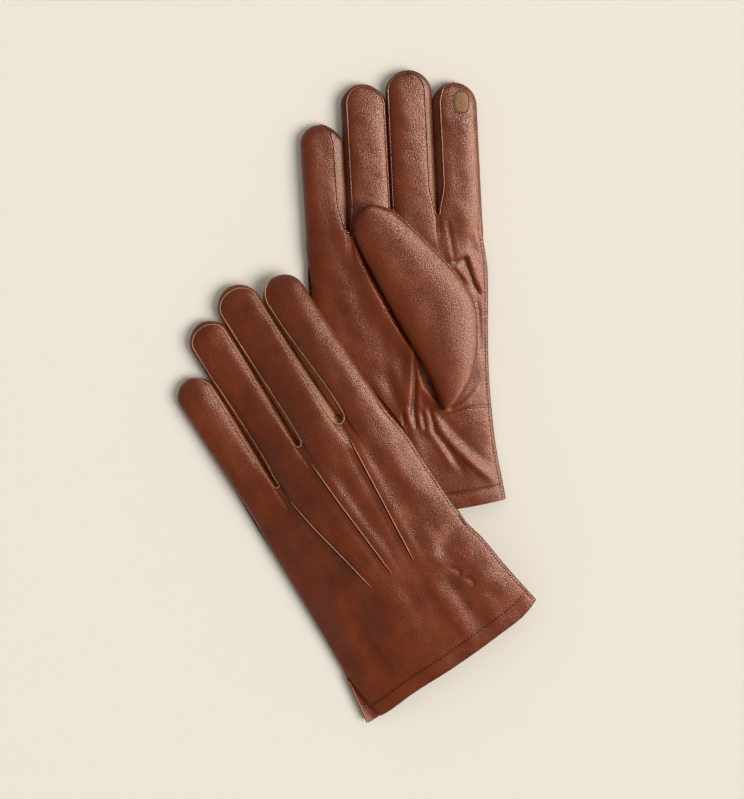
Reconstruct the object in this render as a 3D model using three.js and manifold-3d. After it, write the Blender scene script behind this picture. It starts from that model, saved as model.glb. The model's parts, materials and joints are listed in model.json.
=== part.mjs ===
// A pair of lined leather dress gloves with touch pads on the index fingers.
// The right glove lies palm up; the left glove lies palm down across it with its thumb tucked under.
// Millimetres, +Z up, +Y towards the fingertips of the right glove.
import * as THREE from "three";
import Module from "manifold-3d";

const wasm = await Module();
wasm.setup();

// ---------------------------------------------------------------- driving dimensions
const LEATHER = 1.1; // wall of the outer leather
const GAP = 0.35; // clearance between neighbouring pieces
const LINING = 0.7; // wall of the knitted lining
const LINING_GAP = 0.85; // clearance between the leather of a hand and its lining
const HAND_T = 10.8; // thickness of a hand lying empty
const FINGER_T = 11.6; // thickness of a finger
const THUMB_T = 9.2; // thickness of a thumb
const HEM_DEPTH = 9.0; // turned hem inside the cuff
const JOINT_GAP = 0.5; // clearance at a finger hinge
const EDGE_HIGH = 0.82; // height share at which the top strip of a finger meets its side wall
const EDGE_LOW = 0.18; // the same for the bottom strip
const POINT_WIDTH = 1.0; // width of a decorative ridge on the back
const LIFT_A = 22.0; // how far the left glove is held up by the right glove and its own thumb

// Outline of the hand, [distance from the cuff, position across]; + is the index side.
const INDEX_EDGE = [[-6, 61], [4, 59.4], [22, 56], [34, 53.6], [44, 52], [60, 50.2], [75, 48.9], [150, 47.5], [190, 45.4]];
const LITTLE_EDGE = [[-6, -59.8], [20, -57.5], [45, -56.6], [75, -55.8], [110, -55.2], [148, -55.4], [190, -57.5]];
// Cuff line and the line of the finger forks, [position across, distance from the cuff centre].
const CUFF_LINE = [[-60, -4.6], [-30, -3.4], [0, -2], [30, 0.6], [48, 4], [60, 8]];
const WEB_LINE = [[-56, 148], [-32, 150], [-8, 160], [19, 161], [48, 158]];

const FINGER_ORDER = ["little", "ring", "middle", "index"];
const GLOVES = {
  right: {
    palmUp: true,
    turn: 0,
    at: [27.84, -70.04],
    fingers: {
      little: { root: -45.6, tip: -50.2, end: 227.4, width: 24.0, hinge: 176, outer: -1 },
      ring: { root: -20.0, tip: -25.2, end: 251.1, width: 24.6, hinge: 186, outer: 0 },
      middle: { root: 6.0, tip: 1.2, end: 259.3, width: 25.6, hinge: 187, outer: 0 },
      index: { root: 32.6, tip: 27.8, end: 252.3, width: 25.6, hinge: 187, outer: 1 },
    },
  },
  left: {
    palmUp: false,
    turn: 32.5,
    at: [54.81, -152.98],
    fingers: {
      little: { root: -43.4, tip: -44.0, end: 219.3, width: 22.0, hinge: 166, outer: -1 },
      ring: { root: -20.0, tip: -19.6, end: 243.0, width: 22.4, hinge: 178, outer: 0 },
      middle: { root: 5.2, tip: 5.6, end: 251.7, width: 24.0, hinge: 179, outer: 0 },
      index: { root: 33.2, tip: 31.2, end: 242.5, width: 24.0, hinge: 178, outer: 1 },
    },
  },
};

// Leaf outline of a thumb folded over the palm: [left edge x, left edge y, width across].
const THUMB_ROWS = [
  [22.5, 64, 7], [17, 77, 24], [8.1, 90.5, 36.5], [-0.5, 105.5, 44], [-9.3, 121.2, 43.6],
  [-24, 149, 35], [-29, 160, 29.5], [-30, 169, 22], [-25.5, 177, 8],
];
const THUMB_ACROSS = [0.923, 0.385]; // unit vector across the thumb
const THUMB_HOLE = { x: 30.5, y: 92, across: 6.5, along: 17, turn: -18 };
const POINT_LINES = [
  { name: "point_index_middle", from: [18.7, 138], to: [12.2, 62] },
  { name: "point_middle_ring", from: [-7.8, 139], to: [-2.5, 61.5] },
  { name: "point_ring_little", from: [-30.2, 127], to: [-16.8, 61.6] },
];
const ELASTIC = { from: -27, to: 24, y0: 55, y1: 62, thick: 0.5 };

const LEATHER_LOOK = { color: 0x7d3f28, roughness: 0.5, metalness: 0 };
const SIDE_LOOK = { color: 0x6a3320, roughness: 0.55, metalness: 0 };
const LINING_LOOK = { color: 0x5b3a2a, roughness: 0.95, metalness: 0 };
const THREAD_LOOK = { color: 0x9a5a3a, roughness: 0.8, metalness: 0 };
const PAD_LOOK = { color: 0x8a6a35, roughness: 0.6, metalness: 0.2 };
const ELASTIC_LOOK = { color: 0x3c2a22, roughness: 0.9, metalness: 0 };

// ---------------------------------------------------------------- small maths
function along(table, at) {
  let i = 0;
  while (i < table.length - 2 && at > table[i + 1][0]) i++;
  const [a, fa] = table[i];
  const [b, fb] = table[i + 1];
  const t = Math.min(1, Math.max(0, (at - a) / (b - a)));
  return fa + (fb - fa) * t;
}

function step(a, b, x) {
  const t = Math.min(1, Math.max(0, (x - a) / (b - a)));
  return t * t * (3 - 2 * t);
}

function mix(a, b, t) {
  return a + (b - a) * t;
}

// ---------------------------------------------------------------- height of the glove surfaces
// How high the underside of the left glove is held above the table.
function drape(glove, x, y) {
  if (glove.palmUp) return 0;
  const amount = LIFT_A * step(-35, 72, y) * (1 - 0.8 * step(150, 262, y));
  const start = -60 + Math.max(0, y - 111) * 0.3;
  const end = -5 + Math.max(0, y - 111) * 0.45;
  return (amount + 3.5 * (1 - step(-35, 72, y))) * step(start, end, x);
}

function fingerCentre(finger, y, web) {
  return mix(finger.root, finger.tip, (y - web) / (finger.end - web));
}

function fingerHalf(finger, y) {
  const r = finger.width * 0.52;
  const past = Math.max(0, (y - (finger.end - r)) / r);
  const round = Math.sqrt(Math.max(0, 1 - Math.min(1, past) ** 2.3));
  return (finger.width / 2) * round;
}

function fingerAt(glove, x, y) {
  const names = FINGER_ORDER;
  const edge = (k) => {
    const a = glove.fingers[names[k]];
    return fingerCentre(a, y, along(WEB_LINE, a.root)) + fingerHalf(a, y);
  };
  for (let i = 0; i < 3; i++) {
    const next = glove.fingers[names[i + 1]];
    const nextLeft = fingerCentre(next, y, along(WEB_LINE, next.root)) - fingerHalf(next, y);
    if (x <= (edge(i) + nextLeft) / 2) return glove.fingers[names[i]];
  }
  return glove.fingers.index;
}

// Share of the thickness, 0 at the bottom and 1 at the top, of the top or bottom skin at u across (-1..1).
function skin(u, top, edgeShare, power) {
  const dome = Math.sqrt(Math.max(0, 1 - Math.abs(u) ** power));
  return top ? edgeShare + (1 - edgeShare) * dome : edgeShare * (1 - dome);
}

function surface(glove, x, y, top) {
  const left = along(LITTLE_EDGE, y);
  const right = along(INDEX_EDGE, y);
  const u = Math.min(1, Math.max(-1, ((x - left) / (right - left)) * 2 - 1));
  const handZ = HAND_T * skin(u, top, top ? 0.52 : 0.48, top ? 6 : 7);
  const web = along(WEB_LINE, x);
  const w = step(web - 24, web, y);
  let z = handZ;
  if (w > 0) {
    const f = fingerAt(glove, x, y);
    const c = fingerCentre(f, y, along(WEB_LINE, f.root));
    const half = fingerHalf(f, y);
    const v = Math.min(1, Math.max(-1, (x - c) / half));
    const isOuter = f.outer !== 0 && Math.sign(v) === f.outer;
    const share = isOuter ? (top ? 0.52 : 0.48) : top ? EDGE_HIGH : EDGE_LOW;
    z = mix(handZ, FINGER_T * skin(v, top, share, top ? 2.4 : 4), w);
  }
  if (!top) z = Math.max(0, z - 0.4);
  return z + drape(glove, x, y);
}

// ---------------------------------------------------------------- closed bodies from grids
function solid(vertices, triangles) {
  const mesh = new wasm.Mesh({
    numProp: 3,
    vertProperties: new Float32Array(vertices.flat()),
    triVerts: new Uint32Array(triangles.flat()),
  });
  mesh.merge();
  const made = new wasm.Manifold(mesh);
  return made;
}

// A body between two grids of points; cells the keep function turns down are left out.
function plate(outer, inner, keep = () => true) {
  const rows = outer.length;
  const cols = outer[0].length;
  const points = [];
  const index = new Map();
  const at = (side, j, i) => {
    const key = side + ":" + j + ":" + i;
    if (!index.has(key)) {
      index.set(key, points.length);
      points.push(side ? inner[j][i] : outer[j][i]);
    }
    return index.get(key);
  };
  const on = (j, i) => j >= 0 && i >= 0 && j < rows - 1 && i < cols - 1 && keep(j, i);
  const faces = [];
  const quad = (a, b, c, d) => {
    faces.push([a, b, c]);
    faces.push([a, c, d]);
  };
  for (let j = 0; j < rows - 1; j++) {
    for (let i = 0; i < cols - 1; i++) {
      if (!on(j, i)) continue;
      quad(at(0, j, i), at(0, j, i + 1), at(0, j + 1, i + 1), at(0, j + 1, i));
      quad(at(1, j, i), at(1, j + 1, i), at(1, j + 1, i + 1), at(1, j, i + 1));
      if (!on(j - 1, i)) quad(at(0, j, i + 1), at(0, j, i), at(1, j, i), at(1, j, i + 1));
      if (!on(j + 1, i)) quad(at(0, j + 1, i), at(0, j + 1, i + 1), at(1, j + 1, i + 1), at(1, j + 1, i));
      if (!on(j, i - 1)) quad(at(0, j, i), at(0, j + 1, i), at(1, j + 1, i), at(1, j, i));
      if (!on(j, i + 1)) quad(at(0, j + 1, i + 1), at(0, j, i + 1), at(1, j, i + 1), at(1, j + 1, i + 1));
    }
  }
  const made = solid(points, faces);
  return made.volume() < 0 ? solid(points, faces.map(([a, b, c]) => [a, c, b])) : made;
}

function sub(a, b) {
  return [a[0] - b[0], a[1] - b[1], a[2] - b[2]];
}

function cross(a, b) {
  return [a[1] * b[2] - a[2] * b[1], a[2] * b[0] - a[0] * b[2], a[0] * b[1] - a[1] * b[0]];
}

// The grid moved along its own normals.
function offsetGrid(grid, distance) {
  const last = grid.length - 1;
  return grid.map((row, j) =>
    row.map((p, i) => {
      const du = sub(row[Math.min(row.length - 1, i + 1)], row[Math.max(0, i - 1)]);
      const dv = sub(grid[Math.min(last, j + 1)][i], grid[Math.max(0, j - 1)][i]);
      const n = cross(du, [0, dv[1], dv[2] * 0.5]);
      const length = Math.hypot(...n) || 1;
      return [p[0] + (n[0] / length) * distance, p[1], p[2] + (n[2] / length) * distance];
    }),
  );
}

// A closed body from rings of points, capped at both ends.
function loft(rings) {
  const n = rings[0].length;
  const points = rings.flat();
  const faces = [];
  for (let j = 0; j < rings.length - 1; j++) {
    for (let i = 0; i < n; i++) {
      const a = j * n + i;
      const b = j * n + ((i + 1) % n);
      faces.push([a, b, b + n]);
      faces.push([a, b + n, a + n]);
    }
  }
  for (const [ring, flip] of [[0, true], [rings.length - 1, false]]) {
    const centre = points.length;
    const list = rings[ring];
    points.push([0, 1, 2].map((k) => list.reduce((s, p) => s + p[k], 0) / n));
    for (let i = 0; i < n; i++) {
      const a = ring * n + i;
      const b = ring * n + ((i + 1) % n);
      faces.push(flip ? [b, a, centre] : [a, b, centre]);
    }
  }
  const made = solid(points, faces);
  return made.volume() < 0 ? solid(points, faces.map(([a, b, c]) => [a, c, b])) : made;
}

// The largest single body, without the crumbs that a cut can leave.
function whole(body) {
  return body.decompose().sort((a, b) => b.volume() - a.volume())[0];
}

// An open tube between two stacks of rings.
function tube(outer, inner) {
  const rows = outer.length;
  const n = outer[0].length;
  const points = [...outer.flat(), ...inner.flat()];
  const shift = rows * n;
  const faces = [];
  const quad = (a, b, c, d) => {
    faces.push([a, b, c]);
    faces.push([a, c, d]);
  };
  for (let i = 0; i < n; i++) {
    const k = (i + 1) % n;
    for (let j = 0; j < rows - 1; j++) {
      quad(j * n + i, j * n + k, (j + 1) * n + k, (j + 1) * n + i);
      quad(shift + j * n + k, shift + j * n + i, shift + (j + 1) * n + i, shift + (j + 1) * n + k);
    }
    const end = (rows - 1) * n;
    quad(k, i, shift + i, shift + k);
    quad(end + i, end + k, shift + end + k, shift + end + i);
  }
  const made = solid(points, faces);
  return made.volume() < 0 ? solid(points, faces.map(([a, b, c]) => [a, c, b])) : made;
}

// A ring of n points round a rounded rectangle between x0 and x1, z0 and z1, lying in the plane of y(x).
function ring(n, x0, x1, yOf, zLow, zHigh, power) {
  const list = [];
  for (let i = 0; i < n; i++) {
    const a = ((i + 0.5) / n) * Math.PI * 2;
    const c = Math.cos(a);
    const s = Math.sin(a);
    const k = (Math.abs(c) ** power + Math.abs(s) ** power) ** (-1 / power);
    const x = (x0 + x1) / 2 + ((x1 - x0) / 2) * c * k;
    const y = yOf(x);
    const lo = zLow(x, y);
    const hi = zHigh(x, y);
    list.push([x, y, (lo + hi) / 2 + ((hi - lo) / 2) * s * k]);
  }
  return list;
}

// ---------------------------------------------------------------- nodes
const root = new THREE.Group();
root.name = "touchscreen_gloves";

function node(parent, name, body, look) {
  const m = whole(body).getMesh();
  const geometry = new THREE.BufferGeometry();
  const n = m.numProp;
  const position = new Float32Array(m.numVert * 3);
  for (let i = 0; i < m.numVert; i++) position.set(m.vertProperties.subarray(i * n, i * n + 3), i * 3);
  geometry.setAttribute("position", new THREE.BufferAttribute(position, 3));
  geometry.setIndex(new THREE.BufferAttribute(m.triVerts, 1));
  geometry.computeVertexNormals();
  const mesh = new THREE.Mesh(geometry, new THREE.MeshStandardMaterial(look));
  mesh.name = name;
  parent.add(mesh);
}

// Lines across the hand: shares of each finger's width, closer together at the outer folds.
const INNER_SHARES = [0, 0.2, 0.5, 0.8, 1];
const LITTLE_SHARES = [0, 0.012, 0.06, 0.2, 0.5, 0.8, 1];
const INDEX_SHARES = [0, 0.2, 0.5, 0.8, 0.94, 0.988, 1];
const HAND_ROWS = [0, 0.15, 0.38, 0.6, 0.8, 0.91, 1];
const STUB_ROWS = [0.5, 1];
const TUBE_END = 119; // how far the lining of the hand reaches

function handGrid(glove, top, inset) {
  const lines = [];
  FINGER_ORDER.forEach((name, k) => {
    const shares = k === 0 ? LITTLE_SHARES : k === 3 ? INDEX_SHARES : INNER_SHARES;
    shares.forEach((s) => lines.push({ name, k, s }));
  });
  const xStub = (line, y) => {
    const f = glove.fingers[line.name];
    const c = fingerCentre(f, y, along(WEB_LINE, f.root));
    const half = fingerHalf(f, y);
    return c + half * (2 * line.s - 1);
  };
  const webY = (line) => along(WEB_LINE, glove.fingers[line.name].root);
  const rows = [];
  HAND_ROWS.forEach((v) => {
    rows.push(
      lines.map((line) => {
        const w = webY(line);
        const xw = xStub(line, w);
        const left = xStub(lines[0], w);
        const right = xStub(lines[lines.length - 1], w);
        const share = (xw - left) / (right - left);
        const cuffX = mix(along(LITTLE_EDGE, 0), along(INDEX_EDGE, 0), share);
        const y = mix(along(CUFF_LINE, cuffX), w, v);
        const straight = mix(along(LITTLE_EDGE, y), along(INDEX_EDGE, y), share);
        const x = mix(straight, xStub(line, y), step(0.85, 1, v));
        return [x, y];
      }),
    );
  });
  STUB_ROWS.forEach((v) => {
    rows.push(
      lines.map((line) => {
        const f = glove.fingers[line.name];
        const y = mix(webY(line), f.hinge - JOINT_GAP / 2, v);
        return [xStub(line, y), y];
      }),
    );
  });
  const grid = rows.map((row) => row.map(([x, y]) => [x, y, surface(glove, x, y, top)]));
  const seam = inset / 2;
  const first = 0;
  const last = lines.length - 1;
  grid.forEach((row) => {
    row[first][2] += top ? seam : -seam;
    row[last][2] += top ? seam : -seam;
  });
  const gapColumns = new Set();
  lines.forEach((line, i) => {
    if (i < last && lines[i + 1].name !== line.name) gapColumns.add(i);
  });
  const keep = (j, i) => j < HAND_ROWS.length - 1 || !gapColumns.has(i);
  return { grid, keep };
}

function handPanel(glove, top) {
  const { grid, keep } = handGrid(glove, top, GAP);
  return plate(grid, offsetGrid(grid, top ? -LEATHER : LEATHER), keep);
}

function fingerRows(f) {
  const start = f.hinge + JOINT_GAP / 2;
  const r = f.width * 0.52;
  const knee = f.end - r;
  const list = [];
  for (const t of [0, 0.5, 1]) list.push(mix(start, knee, t));
  for (const t of [0.45, 0.75, 0.92, 0.99]) list.push(knee + r * t);
  return list;
}

function tipDrop(f, y) {
  return step(f.end - f.width * 1.1, f.end + 2, y);
}

// Top or bottom z of a finger, with the tip thinned.
function fingerZ(glove, f, x, y, v, top) {
  const isOuter = f.outer !== 0 && Math.sign(v) === f.outer;
  const share = isOuter ? (top ? 0.45 : 0.55) : top ? EDGE_HIGH : EDGE_LOW;
  const d = tipDrop(f, y);
  const thick = FINGER_T * (1 - 0.3 * d);
  let z = thick * skin(v, top, share, top ? 2.4 : 4);
  if (!top) z = Math.max(0, z - 0.4);
  return z + d * 1.2 + drape(glove, x, y);
}

function fingerSkin(glove, f, top) {
  const web = along(WEB_LINE, f.root);
  const shares = [-1, -0.985, -0.88, -0.6, 0, 0.6, 0.88, 0.985, 1];
  const inner = f.outer === 0 ? [-1, -0.6, 0, 0.6, 1] : null;
  const us = inner || (f.outer > 0 ? [-1, -0.6, ...shares.slice(4)] : [...shares.slice(0, 5), 0.6, 1]);
  const grid = fingerRows(f).map((y) =>
    us.map((u) => {
      const x = fingerCentre(f, y, web) + fingerHalf(f, y) * u;
      return [x, y, fingerZ(glove, f, x, y, u, top)];
    }),
  );
  return plate(grid, offsetGrid(grid, top ? -LEATHER : LEATHER));
}

// Plan path of a finger's side from the hinge to the tip; side is -1 or +1.
function sidePath(f, side, inset) {
  const web = along(WEB_LINE, f.root);
  const path = fingerRows(f).map((y) => [fingerCentre(f, y, web) + side * fingerHalf(f, y), y]);
  const tip = [f.tip + side * 0.3, f.end - 0.1];
  path.push(tip);
  return path.map((p, i) => {
    const a = path[Math.max(0, i - 1)];
    const b = path[Math.min(path.length - 1, i + 1)];
    const d = [b[0] - a[0], b[1] - a[1]];
    const l = Math.hypot(...d);
    const n = [(-side * d[1]) / l, (side * d[0]) / l];
    const x = p[0] + n[0] * inset;
    const limit = f.tip + side * 0.25;
    return [side > 0 ? Math.max(x, limit) : Math.min(x, limit), i === 0 ? p[1] : p[1] + n[1] * inset];
  });
}

// An upright band along a plan path, between the top and bottom strips.
function band(glove, outerPath, innerPath, zPair) {
  const grid = (path) =>
    path.map(([x, y], i) => {
      const [lo, hi] = zPair(outerPath[i][0], outerPath[i][1]);
      return [[x, y, lo], [x, y, (lo + hi) / 2], [x, y, hi]];
    });
  return plate(grid(outerPath), grid(innerPath));
}

function fingerWall(glove, f, side) {
  const zPair = (x, y) => {
    const d = tipDrop(f, y);
    const thick = FINGER_T * (1 - 0.3 * d);
    const base = d * 1.2 + drape(glove, x, y);
    const lo = Math.max(0, thick * EDGE_LOW - 0.4) + base + LEATHER + GAP + 0.25;
    return [lo, Math.max(lo + 1, thick * EDGE_HIGH + base - LEATHER - GAP - 0.25)];
  };
  return band(glove, sidePath(f, side, 0.15), sidePath(f, side, 0.15 + LEATHER), zPair);
}

function fingerLining(glove, f) {
  const web = along(WEB_LINE, f.root);
  const make = (inset, endInset) => {
    const ys = fingerRows(f).slice(0, 5);
    const end = f.end - LEATHER - GAP - endInset;
    const rows = ys.filter((y) => y < end - 3);
    rows.push(end);
    return loft(
      rows.map((y, j) => {
        const c = fingerCentre(f, y, web);
        const isEnd = j === rows.length - 1;
        const half = isEnd ? 2.2 : Math.max(2.2, fingerHalf(f, y) - inset - 1.0);
        const d = tipDrop(f, y);
        const thick = FINGER_T * (1 - 0.3 * d);
        const mid = (x) => thick / 2 + d * 1.2 + drape(glove, x, y);
        const rise = (thick / 2 - inset) * (isEnd ? 0.45 : 1);
        return ring(12, c - half, c + half, () => y, (x) => mid(x) - rise, (x) => mid(x) + rise, 2.6);
      }),
    );
  };
  const outer = make(LEATHER + GAP + 0.1, 0.9);
  const inner = make(LEATHER + GAP + 0.1 + LINING, 0.9 + LINING);
  const opening = slabBox(f.hinge + JOINT_GAP / 2 - 8, f.hinge + JOINT_GAP / 2 + 0.01);
  return outer.subtract(inner).subtract(opening);
}

function slabBox(y0, y1) {
  const rings = [y0, y1].map((y) => [[-90, y, -20], [90, y, -20], [90, y, 80], [-90, y, 80]]);
  return loft(rings);
}

// Fork between two neighbouring fingers: a U-shaped gusset from hinge to hinge.
function crotch(glove, k) {
  const a = glove.fingers[FINGER_ORDER[k]];
  const b = glove.fingers[FINGER_ORDER[k + 1]];
  const wa = along(WEB_LINE, a.root);
  const wb = along(WEB_LINE, b.root);
  const ax = (y) => fingerCentre(a, y, wa) + fingerHalf(a, y);
  const bx = (y) => fingerCentre(b, y, wb) - fingerHalf(b, y);
  const low = Math.max(wa, wb) + 3.2;
  const ha = a.hinge - JOINT_GAP / 2 - 0.1;
  const hb = b.hinge - JOINT_GAP / 2 - 0.1;
  const mid = (ax(low) + bx(low)) / 2;
  const outer = [[ax(ha), ha], [ax(low + 2), low + 2], [mid, low], [bx(low + 2), low + 2], [bx(hb), hb]];
  const shift = [[-1, 0], [-1, -0.7], [0, -1], [1, -0.7], [1, 0]];
  const inner = outer.map(([x, y], i) => [x + shift[i][0] * LEATHER, y + shift[i][1] * LEATHER]);
  const zPair = (x, y) => {
    const base = drape(glove, x, y);
    const lo = Math.max(0, FINGER_T * EDGE_LOW - 0.4) + base + LEATHER + GAP + 0.3;
    return [lo, FINGER_T * EDGE_HIGH + base - LEATHER - GAP - 0.3];
  };
  return band(glove, outer, inner, zPair);
}

// Rings of an inner tube of the hand, from the cuff line to a share of the way to the forks.
function handTube(glove, insetX, insetZ, v0, v1, count) {
  const rings = [];
  for (let j = 0; j <= count; j++) {
    const v = mix(v0, v1, j / count);
    const yOf = (x) => mix(along(CUFF_LINE, x), TUBE_END, v);
    const yMid = yOf(0);
    const left = along(LITTLE_EDGE, yMid) + insetX;
    const right = along(INDEX_EDGE, yMid) - insetX;
    rings.push(
      ring(
        24,
        left,
        right,
        yOf,
        (x, y) => drape(glove, x, y) + insetZ,
        (x, y) => drape(glove, x, y) + HAND_T - insetZ,
        3.0,
      ),
    );
  }
  return rings;
}

function tubeShell(glove, inset, wall, v0, v1, count) {
  const extra = inset * 0.3 + 1.2;
  const outer = handTube(glove, inset + extra, inset, v0, v1, count);
  const inner = handTube(glove, inset + extra + wall, inset + wall, v0, v1, count);
  return tube(outer, inner);
}

function thumbRows(glove) {
  if (glove.palmUp) return THUMB_ROWS.map(([x, y, w]) => ({ x, y, w, dir: THUMB_ACROSS }));
  const turn = THREE.MathUtils.degToRad(-14);
  const c = Math.cos(turn);
  const s = Math.sin(turn);
  const size = 0.85;
  const about = [33, 75];
  return THUMB_ROWS.map(([x, y, w]) => {
    const px = (x - about[0]) * size;
    const py = (y - about[1]) * size;
    const dir = [THUMB_ACROSS[0] * c - THUMB_ACROSS[1] * s, THUMB_ACROSS[0] * s + THUMB_ACROSS[1] * c];
    return { x: about[0] - 2.5 + px * c - py * s, y: about[1] + px * s + py * c, w: w * size, dir };
  });
}

// The lower z of a thumb: it lies on the palm (right) or hangs just under it (left).
function thumbBase(glove, x, y) {
  if (glove.palmUp) return Math.max(HAND_T, surface(glove, x, y, true)) + 0.45;
  return drape(glove, x, y) - 0.45 - THUMB_T;
}

function thumbPod(glove, inset) {
  const rows = thumbRows(glove);
  const n = rows.length;
  return loft(
    rows.map((row, j) => {
      const end = j === 0 ? 1 : j === n - 1 ? -1 : 0;
      const axis = [-row.dir[1], row.dir[0]];
      const half = Math.max(0.8, row.w / 2 - inset);
      const cx = row.x + (row.dir[0] * row.w) / 2 + axis[0] * inset * end;
      const cy = row.y + (row.dir[1] * row.w) / 2 + axis[1] * inset * end;
      const thin = Math.min(1, 0.5 + row.w / 44);
      const list = [];
      for (let i = 0; i < 12; i++) {
        const a = ((i + 0.5) / 12) * Math.PI * 2;
        const c = Math.cos(a);
        const s = Math.sin(a);
        const k = (Math.abs(c) ** 2.7 + Math.abs(s) ** 2.7) ** (-1 / 2.7);
        const x = cx + row.dir[0] * half * c * k;
        const y = cy + row.dir[1] * half * c * k;
        const rise = (THUMB_T / 2) * thin - inset;
        const flat = glove.palmUp ? (THUMB_T / 2) * thin : THUMB_T - (THUMB_T / 2) * thin;
        list.push([x, y, thumbBase(glove, x, y) + flat + rise * s * k]);
      }
      return list;
    }),
  );
}

// Upright oval plug through the palm and the thumb, where the hand passes into the thumb.
function thumbHole(glove, grow, z0, z1) {
  const turn = THREE.MathUtils.degToRad(THUMB_HOLE.turn);
  const list = (z) => {
    const points = [];
    for (let i = 0; i < 12; i++) {
      const a = (i / 12) * Math.PI * 2;
      const px = Math.cos(a) * (THUMB_HOLE.across + grow);
      const py = Math.sin(a) * (THUMB_HOLE.along + grow);
      const x = THUMB_HOLE.x + px * Math.cos(turn) - py * Math.sin(turn);
      const y = THUMB_HOLE.y + px * Math.sin(turn) + py * Math.cos(turn);
      points.push([x, y, z + drape(glove, x, y)]);
    }
    return points;
  };
  return loft([list(z0), list(z1)]);
}

// A thin bar along a straight line on the back of the hand.
function ridge(glove, from, to, half, zPair) {
  const steps = 8;
  const d = [to[0] - from[0], to[1] - from[1]];
  const l = Math.hypot(...d);
  const n = [d[1] / l, -d[0] / l];
  const low = [];
  const high = [];
  for (let i = 0; i <= steps; i++) {
    const t = i / steps;
    const taper = half * (1 - 0.45 * t);
    const x = mix(from[0], to[0], t);
    const y = mix(from[1], to[1], t);
    const [z0, z1] = zPair(x, y);
    low.push([-1, 1].map((k) => [x + n[0] * k * taper, y + n[1] * k * taper, z0]));
    high.push([-1, 1].map((k) => [x + n[0] * k * taper, y + n[1] * k * taper, z1]));
  }
  return plate(high, low);
}

function touchPad(glove, f) {
  const web = along(WEB_LINE, f.root);
  const topSide = glove.palmUp;
  const yMid = f.end - 13;
  const rowsY = [-6, -4.5, 0, 4.5, 6].map((d) => yMid + d);
  const widths = [2.6, 4, 4, 4, 2.6];
  const shape = (lift) =>
    rowsY.map((y, j) =>
      [-1, -0.5, 0, 0.5, 1].map((s) => {
        const c = fingerCentre(f, y, web) + (topSide ? 1.6 : 0);
        const x = c + s * widths[j];
        const v = (x - fingerCentre(f, y, web)) / fingerHalf(f, y);
        return [x, y, fingerZ(glove, f, x, y, v, topSide) + lift];
      }),
    );
  return topSide ? plate(shape(1.0), shape(0.42)) : plate(shape(-0.42), shape(-1.0));
}

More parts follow.
